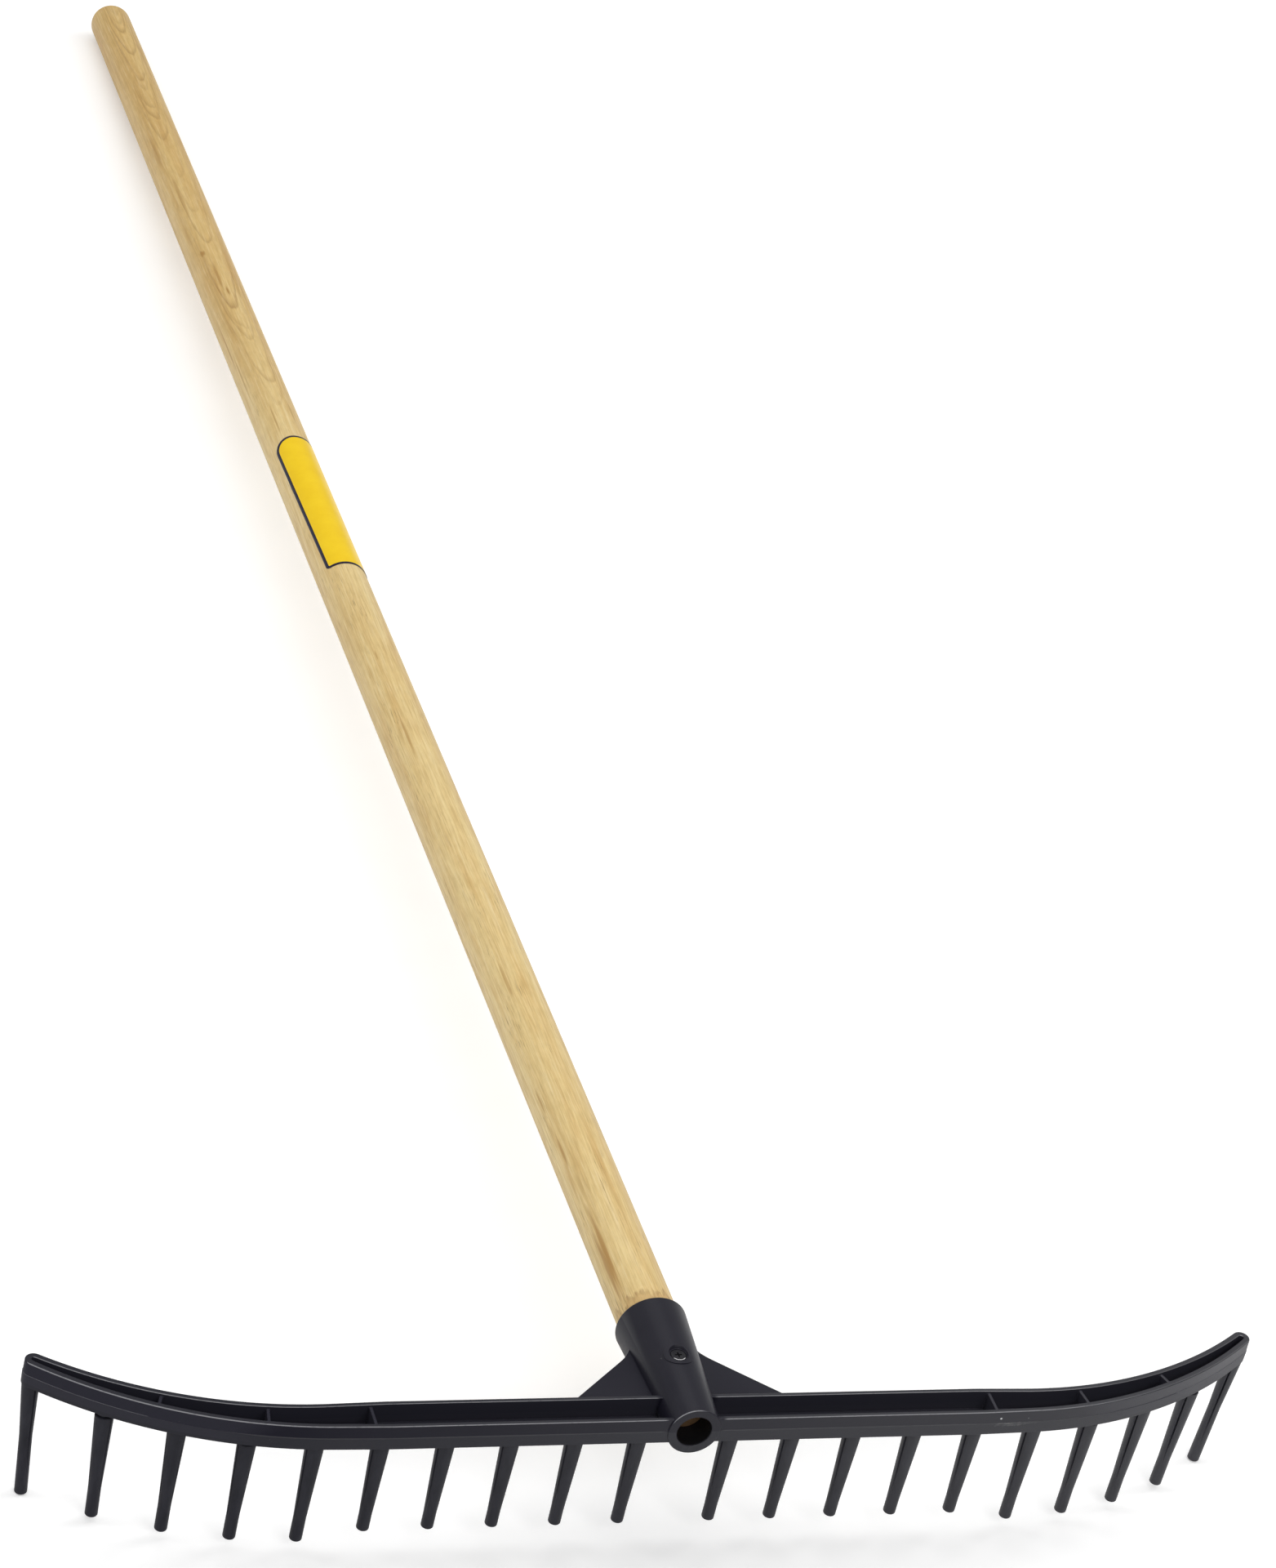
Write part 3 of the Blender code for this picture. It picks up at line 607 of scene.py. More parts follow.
# %% The finish of the wood
def wood_finish():
    finish = Finish("pale_wood")
    place = finish.in_head_frame()
    y = finish.axes(place)[1]
    plain = finish.span(y, 1.05, 0.65, 0.30, 1.0)
    broad = finish.noise(place, (120, 3, 120), 3, 0.55)
    streak = finish.noise(place, (520, 11, 520), 4, 0.66)
    hair = finish.noise(place, (1500, 42, 1500), 2, 0.6)
    mottle = finish.noise(place, (330, 120, 330), 3, 0.6)
    amber = finish.span(finish.noise(place, (170, 13, 170), 3, 0.6, (2, 8, 4)), 0.54, 0.72)
    pores = finish.span(finish.noise(place, (1700, 75, 1700), 2, shift=(7, 3, 1)), 0.58, 0.68)
    clusters = finish.noise(place, (110, 22, 110), 2, shift=(3, 9, 6))
    pores = finish.times(pores, finish.span(clusters, 0.52, 0.64, 0.06, 1.0), plain)
    finish.colour = finish.ramp(broad, WOOD_TONES)
    finish.paint(finish.span(streak, 0.46, 0.28, 0, 0.35), PALE_STREAK)
    finish.paint(finish.span(streak, 0.52, 0.74, 0, 0.45), DARK_STREAK)
    finish.paint(finish.times(amber, 0.5), AMBER_STREAK)
    finish.paint(finish.times(wood_arches(finish, place), 0.68), RING_TONE)
    # Painted shade: the wood is darker and yellower towards the butt, where less light falls.
    finish.paint(finish.span(y, 0.88, 1.12), BUTT_SHADE_TONE, "MULTIPLY")
    finish.paint(1.0, finish.ramp(mottle, MOTTLE_TONES), "MULTIPLY")
    finish.paint(finish.times(finish.span(hair, 0.50, 0.72, 0, 0.42), plain), DARK_HAIR)
    finish.paint(finish.span(hair, 0.48, 0.30, 0, 0.22), PALE_HAIR)
    finish.paint(finish.times(pores, 0.7), PORE_TONE)
    for degrees, along, width, length, strength in BROWN_MARKS:
        side = Vector((math.cos(math.radians(degrees)), 0, math.sin(math.radians(degrees))))
        centre = side * HANDLE_RADIUS / MM + Vector((0, along, 0))
        shape = finish.mark(place, centre, (width, length, width), streak)
        finish.paint(finish.times(shape, strength), BROWN_TONE)
    beyond = crushed_fibres(finish, place, y)
    finish.paint(finish.span_mm(beyond, 1.0, -2.0, 0, 0.55), CRUSHED_TONE)
    torn = finish.span_mm(finish.size(beyond), 3.0, 0.4)
    finish.paint(finish.times(torn, finish.span(streak, 0.38, 0.62, 0.10, 0.70)), TORN_TONE)
    finish.paint(finish.span(y, HANDLE_FRONT + 0.7 * MM, HANDLE_FRONT + 0.4 * MM), END_GRAIN_TONE)
    height = finish.plus(finish.times(streak, 0.5), finish.times(pores, -1.0))
    return finish.surface({
        "Base Color": finish.colour,
        "Roughness": finish.span(streak, 0.3, 0.7, 0.46, 0.60),
        "Coat Weight": 0.15,
        "Coat Roughness": 0.35,
        "Normal": finish.bump(height, 0.08 * MM, 0.5),
    })


pale_wood = wood_finish()
print("finish:", pale_wood.name, "nodes:", len(pale_wood.node_tree.nodes))

# %% [markdown]
# ### Steel, film and ink
#
# The screw is blackened steel. Along the front of its rim it is painted bright: a painted glint,
# which shows as a short bright line. The sticker is a thin film: its yellow is a little uneven, as
# print is, and its border is a dark blue ink, duller than the yellow.

# %% The finishes of the screw and the sticker
STEEL_TONES = [(0.35, (0.018, 0.018, 0.022)), (0.75, (0.034, 0.034, 0.039))]
STEEL_GLINT_TONE = (0.80, 0.80, 0.80)
YELLOW_TONES = [(0.35, (0.93, 0.61, 0.004)), (0.65, (0.97, 0.66, 0.008))]
NAVY_TONES = [(0.35, (0.008, 0.006, 0.030)), (0.65, (0.012, 0.010, 0.042))]


def steel_finish():
    finish = Finish("blackened_steel")
    place = finish.in_head_frame()
    wear = finish.noise(place, 900, 4, 0.6)
    x, y, _ = finish.axes(place)
    along = finish.plus(y, -SCREW_PLACE)
    # Painted glint: the front of the screw's rim is painted bright, where light catches it.
    rim = finish.span_mm(finish.distance(x, along), 3.25, 3.4)
    in_front = finish.span_mm(along, -1.9, -2.6)
    finish.colour = finish.ramp(wear, STEEL_TONES)
    finish.paint(finish.times(rim, in_front), STEEL_GLINT_TONE)
    return finish.surface({
        "Base Color": finish.colour,
        "Roughness": finish.span(wear, 0.3, 0.8, 0.60, 0.48),
        "Metallic": 0.6,
        "Normal": finish.bump(wear, 0.03 * MM, 0.5),
    })


def film_finish(name, tones, coat):
    finish = Finish(name)
    place = finish.in_head_frame()
    fine = finish.noise(place, 1500, 2)
    return finish.surface({
        "Base Color": finish.ramp(finish.noise(place, 60, 4, 0.6), tones),
        "Roughness": finish.span(fine, 0.3, 0.7, 0.34, 0.44),
        "Specular IOR Level": 0.3,
        "Coat Weight": coat,
        "Coat Roughness": 0.15,
        "Normal": finish.bump(fine, 0.02 * MM, 0.4),
    })


blackened_steel = steel_finish()
yellow_film = film_finish("yellow_film", YELLOW_TONES, 0.15)
navy_ink = film_finish("navy_ink", NAVY_TONES, 0.0)
print("finishes:", blackened_steel.name, yellow_film.name, navy_ink.name)

# %% [markdown]
# ## The beam
#
# The beam is an open-topped channel. Seen from above it is straight in the middle, and its ends
# sweep back and grow narrow, with round noses at the last tines. Its outline is drawn by walking
# one vertex round it: an edge along the straight part, a spin about the middle of the bend, a half
# turn round the last tine, and the same way back. A mirror gives the other half. The outline is
# made at full width first, and then drawn in towards its centre line.

# %% Sizes of the beam
NARROWING_START = 141 * MM
BEAM_HALF_WIDTH = 9 * MM
BEAM_END_HALF_WIDTH = 4.5 * MM
BEAM_BOTTOM = -6.5 * MM
BEAM_TOP = 6.5 * MM
DRAFT = 0.15 * MM
LEDGE = 0.18 * MM
WALL = 2.5 * MM
FLOOR_TOP = -3.5 * MM
CHANNEL_END_HALF_WIDTH = 1.2 * MM
FIRST_WALK = 60 * MM
BEND_STEPS, NOSE_STEPS = 36, 14
BEND_CENTRE = Vector((STRAIGHT_HALF, BEND_RADIUS, 0))
NOSE_CENTRE = Vector((LAST_TINE, END_SWEEP, 0))


# %% Where a place across the head lies on the centre line
def along_beam(across):
    if across <= STRAIGHT_HALF:
        return across
    return STRAIGHT_HALF + BEND_RADIUS * math.asin((across - STRAIGHT_HALF) / BEND_RADIUS)


BEAM_HALF_LENGTH = along_beam(LAST_TINE)
print("half the beam's centre line, mm:", round(BEAM_HALF_LENGTH / MM, 1))


def centre_line(distance):
    bend = max(0.0, distance - STRAIGHT_HALF) / BEND_RADIUS
    x = min(distance, STRAIGHT_HALF) + BEND_RADIUS * math.sin(bend)
    return Vector((x, BEND_RADIUS * (1 - math.cos(bend)), 0)), bend


def narrowed(middle, end, distance):
    share = (distance - NARROWING_START) / (BEAM_HALF_LENGTH - NARROWING_START)
    return middle + (end - middle) * min(1.0, max(0.0, share))


# %% Draw an outline at full width, then draw it in
def draw_in(vert, half, end_half):
    if vert.co.x <= STRAIGHT_HALF:
        distance = vert.co.x
    else:
        arm = vert.co - BEND_CENTRE
        distance = STRAIGHT_HALF + BEND_RADIUS * math.atan2(arm.x, -arm.y)
    if distance >= BEAM_HALF_LENGTH:
        vert.co = NOSE_CENTRE + (vert.co - NOSE_CENTRE) * end_half / half
        return
    middle, _ = centre_line(distance)
    vert.co = middle + (vert.co - middle) * narrowed(half, end_half, distance) / half


def beam_outline(bm, half, end_half, height):
    walker = [bm.verts.new((0, -half, 0))]
    made = list(walker)

    def walk(reach):
        walker[:] = bmesh.ops.extrude_vert_indiv(bm, verts=walker)["verts"]
        bmesh.ops.translate(bm, verts=walker, vec=(reach, 0, 0))
        made.extend(walker)

    def swing(centre, angle, steps):
        part = Matrix.Rotation(angle / steps, 3, "Z")
        for _ in range(steps):
            walker[:] = bmesh.ops.extrude_vert_indiv(bm, verts=walker)["verts"]
            bmesh.ops.rotate(bm, verts=walker, cent=centre, matrix=part)
            made.extend(walker)

    straight = (FIRST_WALK, NARROWING_START - FIRST_WALK, STRAIGHT_HALF - NARROWING_START)
    for reach in straight:
        walk(reach)
    swing(BEND_CENTRE, BEND_ANGLE, BEND_STEPS)
    swing(NOSE_CENTRE, math.pi, NOSE_STEPS)
    swing(BEND_CENTRE, -BEND_ANGLE, BEND_STEPS)
    for reach in reversed(straight):
        walk(-reach)
    for vert in made:
        draw_in(vert, half, end_half)
        vert.co.z = height
    copies = verts_of(bmesh.ops.duplicate(bm, geom=made + edges_at(made))["geom"])
    bmesh.ops.scale(bm, verts=copies, vec=(-1, 1, 1))
    bmesh.ops.remove_doubles(bm, verts=made + copies, dist=MERGE_DISTANCE)
    return edges_at(made + copies)


# %% [markdown]
# The walls come from bridging outlines of different widths: the underside, the parting line where
# the mould halves meet and the section is widest, the top of the wall, and the channel inside it.
# Mould halves never meet quite flush, so the upper half starts a little further in, and the small
# slope between them shows as a fine line.
#
# Then the edges are rounded: a bevel with a few segments and a round profile. The rim's outer and
# inner edges are the ones that catch a thin line of light in a studio.

# %% Make the beam
BEAM_OUTLINES = [
    # half width in the middle, half width at the end, height
    (BEAM_HALF_WIDTH - DRAFT, BEAM_END_HALF_WIDTH - DRAFT, BEAM_BOTTOM),
    (BEAM_HALF_WIDTH, BEAM_END_HALF_WIDTH, -LEDGE / 2),
    (BEAM_HALF_WIDTH - LEDGE, BEAM_END_HALF_WIDTH - LEDGE, LEDGE / 2),
    (BEAM_HALF_WIDTH - LEDGE - DRAFT, BEAM_END_HALF_WIDTH - LEDGE - DRAFT, BEAM_TOP),
    (BEAM_HALF_WIDTH - WALL, CHANNEL_END_HALF_WIDTH, BEAM_TOP),
    (BEAM_HALF_WIDTH - WALL - DRAFT, CHANNEL_END_HALF_WIDTH - DRAFT / 2, FLOOR_TOP),
]


def make_beam():
    bm = bmesh.new()
    loops = [beam_outline(bm, *outline) for outline in BEAM_OUTLINES]
    for lower, upper in zip(loops, loops[1:]):
        bmesh.ops.bridge_loops(bm, edges=lower + upper)
    underside, _, _, outer_rim, inner_rim, channel_floor = loops
    for loop in (underside, channel_floor):
        bmesh.ops.contextual_create(bm, geom=loop)
    bmesh.ops.recalc_face_normals(bm, faces=bm.faces)
    for loop, radius, segments in ((underside, 0.35, 2), (outer_rim, 0.6, 3), (inner_rim, 0.45, 3)):
        round_edges(bm, [edge for edge in loop if edge.is_valid], radius * MM, segments)
    return bm


beam = make_beam()
report("beam", beam)

# %% [markdown]
# ## Ribs
#
# Six thin plates cross the channel and keep its walls apart. Each is a cube, squeezed to a plate,
# turned square to the centre line, with its ends inside the walls and a softened top edge. A thin
# upright bead in each corner is the fillet that every mould needs there.

# %% Make the ribs
RIB_PLACES = (148 * MM, 195 * MM, 241 * MM)
RIB_THICKNESS = 1.5 * MM
RIB_LOW, RIB_HIGH = FLOOR_TOP - 1.5 * MM, BEAM_TOP - 1 * MM
BEAD_RADIUS = 0.45 * MM
BEAD_LOW, BEAD_HIGH = FLOOR_TOP - 1 * MM, BEAM_TOP - 1.4 * MM


def rib_stands():
    """Where each rib stands, and half the width of the channel there."""
    for side in (-1, 1):
        for across in RIB_PLACES:
            distance = along_beam(across)
            middle, bend = centre_line(distance)
            place = Matrix.Translation((side * middle.x, middle.y, 0))
            half = narrowed(BEAM_HALF_WIDTH - WALL, CHANNEL_END_HALF_WIDTH, distance)
            yield place @ Matrix.Rotation(side * bend, 4, "Z"), half


def make_ribs():
    bm = bmesh.new()
    for stand, half in rib_stands():
        plate = block(RIB_THICKNESS, 2 * (half + WALL / 2), RIB_HIGH - RIB_LOW)
        move(plate, 0, 0, (RIB_LOW + RIB_HIGH) / 2)
        top = RIB_HIGH - 0.1 * MM
        edges = [edge for edge in plate.edges if all(vert.co.z > top for vert in edge.verts)]
        round_edges(plate, edges, 0.3 * MM)
        add_to(bm, plate, stand)
    return bm


def make_rib_fillets():
    bm = bmesh.new()
    for stand, half in rib_stands():
        for x in (-RIB_THICKNESS / 2, RIB_THICKNESS / 2):
            for y in (-half, half):
                bead = rod(BEAD_RADIUS, BEAD_LOW, BEAD_HIGH, 12)
                add_to(bm, bead, stand @ Matrix.Translation((x, y, 0)))
    return bm


# %% [markdown]
# ## The socket
#
# The handle sits in a cone that runs right through the beam. It is one turned shape: a flat ring
# in front, the long cone outside, a rounded mouth, the taper inside that grips the handle, and a
# shoulder that stops it. The bore in front of the shoulder is open, so the end of the wood shows.

# %% Sizes of the socket, the screw's boss and the webs
RING_FACE = -9.5 * MM
RING_RADIUS = 12.4 * MM
RING_BORE = 8.2 * MM
MOUTH_RADIUS = 17.1 * MM
SHOULDER = 3.7 * MM
FIT = 0.3 * MM
HANDLE_FRONT_RADIUS = 9.3 * MM
HANDLE_TAPER = 62 * MM
BOSS_RADIUS = 7 * MM
BOSS_PROUD = 0.35 * MM
SOCKET_STEPS = 96


def socket_radius(along):
    share = (along - RING_FACE) / (MOUTH - RING_FACE)
    return RING_RADIUS + (MOUTH_RADIUS - RING_RADIUS) * share


def rounded_corner(corner, towards, leaving, radius, steps=4):
    """Points of an arc that rounds a corner of a profile, as (radius, height) pairs."""
    corner, towards, leaving = Vector(corner), Vector(towards), Vector(leaving)
    back = (towards - corner).normalized()
    on = (leaving - corner).normalized()
    half = back.angle(on) / 2
    start = corner + back * radius / math.tan(half)
    centre = corner + (back + on).normalized() * radius / math.sin(half)
    end = corner + on * radius / math.tan(half)
    points = []
    for i in range(steps + 1):
        point = (start - centre).lerp(end - centre, i / steps).normalized() * radius + centre
        points.append((point.x, point.y))
    return points


print("socket radius at the screw, mm:", round(socket_radius(SCREW_PLACE) / MM, 2))

# %% Make the socket's outer cone and the bore that is cut from it
def make_cone():
    start, end = (RING_RADIUS, RING_FACE), (MOUTH_RADIUS, MOUTH)
    profile = [(0, RING_FACE)]
    profile += rounded_corner(start, (0, RING_FACE), end, 0.55 * MM)
    profile += rounded_corner(end, start, (0, MOUTH), 0.7 * MM)
    profile += [(0, MOUTH)]
    return turned_along_y(profile, SOCKET_STEPS)


def make_bore():
    widening = (HANDLE_RADIUS - HANDLE_FRONT_RADIUS) * (MOUTH - HANDLE_FRONT) / HANDLE_TAPER
    mouth_bore = HANDLE_FRONT_RADIUS + widening + FIT
    profile = [
        (0, RING_FACE - 1 * MM),
        (RING_BORE + 1.3 * MM, RING_FACE - 1 * MM),
        (RING_BORE + 0.3 * MM, RING_FACE),
        (RING_BORE, RING_FACE + 0.3 * MM),
        (RING_BORE, SHOULDER),
        (HANDLE_FRONT_RADIUS + FIT, SHOULDER),
        (mouth_bore, MOUTH - 0.5 * MM),
        (mouth_bore + 0.5 * MM, MOUTH),
        (mouth_bore + 1.5 * MM, MOUTH + 1 * MM),
        (0, MOUTH + 1 * MM),
    ]
    return turned_along_y(profile, SOCKET_STEPS)


# %% [markdown]
# Two flat webs brace the socket against the beam. Each is a thin plate with a straight outer edge
# and a hollow curve where it dies out on the cone. Round the screw the cone has a low raised boss:
# a short upright cylinder, cut by a cone that stands a little proud of the socket's own.

# %% Make the webs and the boss
WEB_FOOT = Vector((55 * MM, BEAM_HALF_WIDTH))
KNEE_PLACE = 38 * MM
WEB_KNEE = Vector((22.6 * MM, KNEE_PLACE))
WEB_END = 49.5 * MM
WEB_THICKNESS = 3 * MM
CURVE_STEPS = 10


def web_outline():
    slope = (WEB_KNEE - WEB_FOOT).normalized()
    top = Vector((socket_radius(WEB_END) - 0.5 * MM, WEB_END))
    corner = WEB_KNEE + slope * (WEB_KNEE.x - socket_radius(KNEE_PLACE)) / -slope.x
    points = [Vector((0, BEAM_HALF_WIDTH - WALL / 2)), WEB_FOOT - slope * (WALL / 2) / slope.y]
    for i in range(CURVE_STEPS + 1):
        share = i / CURVE_STEPS
        rest = 1 - share
        points.append(WEB_KNEE * rest ** 2 + corner * 2 * share * rest + top * share ** 2)
    return points + [Vector((0, WEB_END))]


def make_webs():
    bm = bmesh.new()
    verts = [bm.verts.new((point.x, point.y, -WEB_THICKNESS / 2)) for point in web_outline()]
    face = bm.faces.new(verts)
    doubled = bmesh.ops.duplicate(bm, geom=[face, *face.edges, *verts])["geom"]
    bmesh.ops.scale(bm, verts=verts_of(doubled), vec=(-1, 1, 1))
    bmesh.ops.remove_doubles(bm, verts=bm.verts, dist=MERGE_DISTANCE)
    bmesh.ops.dissolve_edges(bm, edges=[edge for edge in bm.edges if len(edge.link_faces) == 2])
    raised = bmesh.ops.extrude_face_region(bm, geom=list(bm.faces))["geom"]
    bmesh.ops.translate(bm, verts=verts_of(raised), vec=(0, 0, WEB_THICKNESS))
    bmesh.ops.recalc_face_normals(bm, faces=bm.faces)
    level = [edge for edge in bm.edges if abs(edge.verts[0].co.z - edge.verts[1].co.z) < 0.01 * MM]
    round_edges(bm, level, 0.35 * MM, 2)
    return bm


def make_boss():
    boss = move(rod(BOSS_RADIUS, 8 * MM, 20 * MM, 64), 0, SCREW_PLACE, 0)
    ring_edge = (RING_RADIUS + BOSS_PROUD, RING_FACE)
    mouth_edge = (MOUTH_RADIUS + BOSS_PROUD, MOUTH)
    proud = turned_along_y([(0, RING_FACE), ring_edge, mouth_edge, (0, MOUTH)], SOCKET_STEPS)
    return combined(boss, "INTERSECT", proud)


# %% [markdown]
# ## The tines
#
# There are ten tines on each side of the socket. Every second one grows out of the beam. The
# others are separate plugs, pressed up into short collars whose lower edge is cut back, so that a
# fine dark ring shows where the two meet. All of them are turned shapes: a gentle taper, then a
# plain round end with a softened edge. The tines on the swept ends are longer, and lean in a
# little. Two fine grooves run down each tine, on either side of its front, where the slides of the
# mould met. They are deepest at the root, die out before the tip, and turn with the sweep of the
# beam.

# %% Sizes and places of the tines
SHORT_TINES = 5
SHORT_LENGTH = 53 * MM
LONG_LENGTH = 58 * MM
LONGER_WITH_SWEEP = 0.12
LEAN_WITH_SWEEP = 0.09
LAST_NUMBER = 9
ROOT_RADIUS, TAPER_LENGTH = 4.45 * MM, 45 * MM
LAST_ROOT_RADIUS, LAST_TAPER_LENGTH = 4 * MM, 30 * MM
TIP_RADIUS = 2.93 * MM
COLLAR_LENGTH = 2.5 * MM
STEM_RADIUS = 2.5 * MM
STEM_LENGTH = 4.4 * MM
COLLAR_BOTTOM = BEAM_BOTTOM - COLLAR_LENGTH
PLUG_TOP = COLLAR_BOTTOM - FIT
INSIDE_FLOOR = BEAM_BOTTOM + 1.5 * MM
TINE_STEPS = 40
SIDES = {"left": -1, "right": 1}
PLUG_NUMBERS = range(0, 10, 2)
MOULDED_NUMBERS = range(1, 10, 2)


def tine_sizes(number):
    middle, bend = centre_line(along_beam(FIRST_TINE + number * TINE_PITCH))
    length = SHORT_LENGTH if number < SHORT_TINES else LONG_LENGTH + LONGER_WITH_SWEEP * middle.y
    if number == LAST_NUMBER:
        return middle, bend, length, LAST_ROOT_RADIUS, LAST_TAPER_LENGTH
    return middle, bend, length, ROOT_RADIUS, TAPER_LENGTH


def tine_stand(number, side):
    middle, bend, length, _, _ = tine_sizes(number)
    lean = side * math.atan(LEAN_WITH_SWEEP * middle.y / length)
    lift = Matrix.Translation((0, 0, -BEAM_BOTTOM))
    place = Matrix.Translation((side * middle.x, middle.y, BEAM_BOTTOM))
    return place @ Matrix.Rotation(lean, 4, "Y") @ Matrix.Rotation(side * bend, 4, "Z") @ lift


for number in (0, SHORT_TINES, LAST_NUMBER):
    middle, _, length, _, _ = tine_sizes(number)
    print("tine", number, "mm out:", round(middle.x / MM, 1), "mm long:", round(length / MM, 1))

# %% Make a tine's profile, from its tip up to a height
def tine_radius(depth, root, taper):
    return root + (TIP_RADIUS - root) * min(1.0, depth / taper)


def tine_profile(number, top_depth):
    _, _, length, root, taper = tine_sizes(number)
    tip = BEAM_BOTTOM - length
    profile = [(0, tip)]
    profile += rounded_corner((TIP_RADIUS, tip), (0, tip), (TIP_RADIUS, 0), 0.6 * MM, 5)
    depths = {taper, taper * 0.75, taper * 0.5, taper * 0.25}
    if number == LAST_NUMBER:
        depths |= {50 * MM, 40 * MM}
    else:
        depths |= {taper + (length - taper) * i / 3 for i in (2, 1)}
    for depth in sorted((d for d in depths if top_depth < d < length - 1 * MM), reverse=True):
        profile.append((tine_radius(depth, root, taper), BEAM_BOTTOM - depth))
    return profile


# %% Cut the two witness grooves of a tine
WITNESS_SIDES = (math.radians(207), math.radians(333))
WITNESS_WIDTH = 0.62 * MM
WITNESS_DEPTH = 1.0 * MM
WITNESS_END = 0.80
DEPTH_AT_END = 0.15
DEPTH_GAIN = 1.3


def cut_witness_grooves(bm, number, top):
    _, _, length, _, _ = tine_sizes(number)
    bottom = BEAM_BOTTOM - WITNESS_END * length
    for side_angle in WITNESS_SIDES:

        def on_line(vert):
            angle = math.atan2(vert.co.y, vert.co.x) % math.tau
            on_skin = vert.co.xy.length > 2 * MM
            return on_skin and abs(angle - side_angle) < 0.01 and bottom < vert.co.z < top

        edges = [edge for edge in bm.edges if all(on_line(vert) for vert in edge.verts)]
        round_edges(bm, edges, WITNESS_WIDTH, 2)
        for vert in bm.verts:
            if on_line(vert):
                height = (vert.co.z - bottom) / (BEAM_BOTTOM - bottom)
                share = min(1.0, DEPTH_AT_END + DEPTH_GAIN * height)
                vert.co.xy *= 1 - share * WITNESS_DEPTH / vert.co.xy.length
    return bm


# %% Make the moulded tines and the collars, which belong to the head
def add_pair(bm, number, make_one):
    """Adds one shape at the left and one at the right place of a tine's number."""
    for side in SIDES.values():
        add_to(bm, make_one(), tine_stand(number, side))


def make_moulded_tines():
    bm = bmesh.new()
    for number in MOULDED_NUMBERS:
        root = tine_sizes(number)[3]
        ends = [(root, BEAM_BOTTOM), (root, INSIDE_FLOOR), (0, INSIDE_FLOOR)]
        profile = tine_profile(number, 0) + ends

        def moulded_tine():
            return cut_witness_grooves(turned(profile, TINE_STEPS), number, BEAM_BOTTOM + 0.5 * MM)

        add_pair(bm, number, moulded_tine)
    return bm


def make_collars():
    bm = bmesh.new()
    for number in PLUG_NUMBERS:
        _, _, _, root, taper = tine_sizes(number)
        end = tine_radius(COLLAR_LENGTH, root, taper)
        profile = [
            (0, COLLAR_BOTTOM),
            (end - 1.2 * MM, COLLAR_BOTTOM),
            (end - 1.1 * MM, COLLAR_BOTTOM + 0.7 * MM),
            (end - 0.1 * MM, COLLAR_BOTTOM + 1.2 * MM),
            (root - 0.1 * MM, BEAM_BOTTOM),
            (root - 0.1 * MM, INSIDE_FLOOR),
            (0, INSIDE_FLOOR),
        ]
        add_pair(bm, number, lambda: turned(profile, TINE_STEPS))
    return bm


def make_stem_bores():
    bm = bmesh.new()
    low, high = PLUG_TOP - 1 * MM, PLUG_TOP + STEM_LENGTH + FIT
    for number in PLUG_NUMBERS:
        add_pair(bm, number, lambda: rod(STEM_RADIUS + FIT, low, high, TINE_STEPS))
    return bm


# %% Make the plug tines, each with its stem
def make_plug_tine(number, side):
    _, _, _, root, taper = tine_sizes(number)
    depth = COLLAR_LENGTH + FIT
    stem_top = PLUG_TOP + STEM_LENGTH
    profile = tine_profile(number, depth + 1 * MM)
    shoulder = (tine_radius(depth, root, taper), PLUG_TOP)
    profile += rounded_corner(shoulder, profile[-1], (0, PLUG_TOP), 0.45 * MM)
    profile += [
        (STEM_RADIUS, PLUG_TOP),
        (STEM_RADIUS, stem_top - 0.4 * MM),
        (STEM_RADIUS - 0.4 * MM, stem_top),
        (0, stem_top),
    ]
    plug = cut_witness_grooves(turned(profile, TINE_STEPS), number, PLUG_TOP - 0.2 * MM)
    bmesh.ops.transform(plug, matrix=tine_stand(number, side), verts=plug.verts)
    return plug


for number in PLUG_NUMBERS:
    for word, side in SIDES.items():
        node = f"plug_tine_{word}_{number // 2 + 1}"
        plug = make_plug_tine(number, side)
        make_piece(f"{node}_turned", plug, [black_plastic], [node])
print("plug tines made:", len(PLUG_NUMBERS) * len(SIDES))

# %% [markdown]
# ## Joining the head
#
# The beam, ribs, webs, cone, boss, moulded tines and collars are one moulding, so they are joined
# into one solid. Then the bores for the stems, the handle and the screw are cut out of it.

# %% Sizes and shape of the screw and its hole
BOSS_TOP = socket_radius(SCREW_PLACE) + BOSS_PROUD
SCREW_TOP = BOSS_TOP - 1.2 * MM
SCREW_TIP = SCREW_TOP - 20 * MM
SCREW_HEAD = 3.6 * MM
SCREW_SHANK = 2 * MM
SCREW_RECESS = SCREW_HEAD + 0.9 * MM
SCREW_STEPS = 48


def make_screw_hole():
    profile = [
        (0, SCREW_TIP - FIT),
        (SCREW_SHANK + FIT, SCREW_TIP + 2.7 * MM),
        (SCREW_SHANK + FIT, SCREW_TOP - 2.3 * MM),
        (SCREW_HEAD + FIT, SCREW_TOP - 0.8 * MM),
        (SCREW_HEAD + FIT, SCREW_TOP - 0.1 * MM),
        (SCREW_RECESS - 0.2 * MM, SCREW_TOP - 0.1 * MM),
        (SCREW_RECESS, SCREW_TOP + 0.15 * MM),
        (SCREW_RECESS + 0.15 * MM, BOSS_TOP - 0.5 * MM),
        (SCREW_RECESS + 1.2 * MM, BOSS_TOP + 1 * MM),
        (0, BOSS_TOP + 1 * MM),
    ]
    return move(turned(profile, SCREW_STEPS), 0, SCREW_PLACE, 0)


# %% Join and cut the head
HEAD_PARTS = (
    make_ribs, make_rib_fillets, make_webs, make_cone, make_boss, make_moulded_tines, make_collars,
)
head = beam
for make_part in HEAD_PARTS:
    head = combined(head, "UNION", make_part())
for make_tool in (make_stem_bores, make_bore, make_screw_hole):
    head = combined(head, "DIFFERENCE", make_tool())
report("head", head)
rake_head = make_piece("rake_head_moulding", head, [black_plastic], ["rake_head"])
weigh_normals(rake_head)

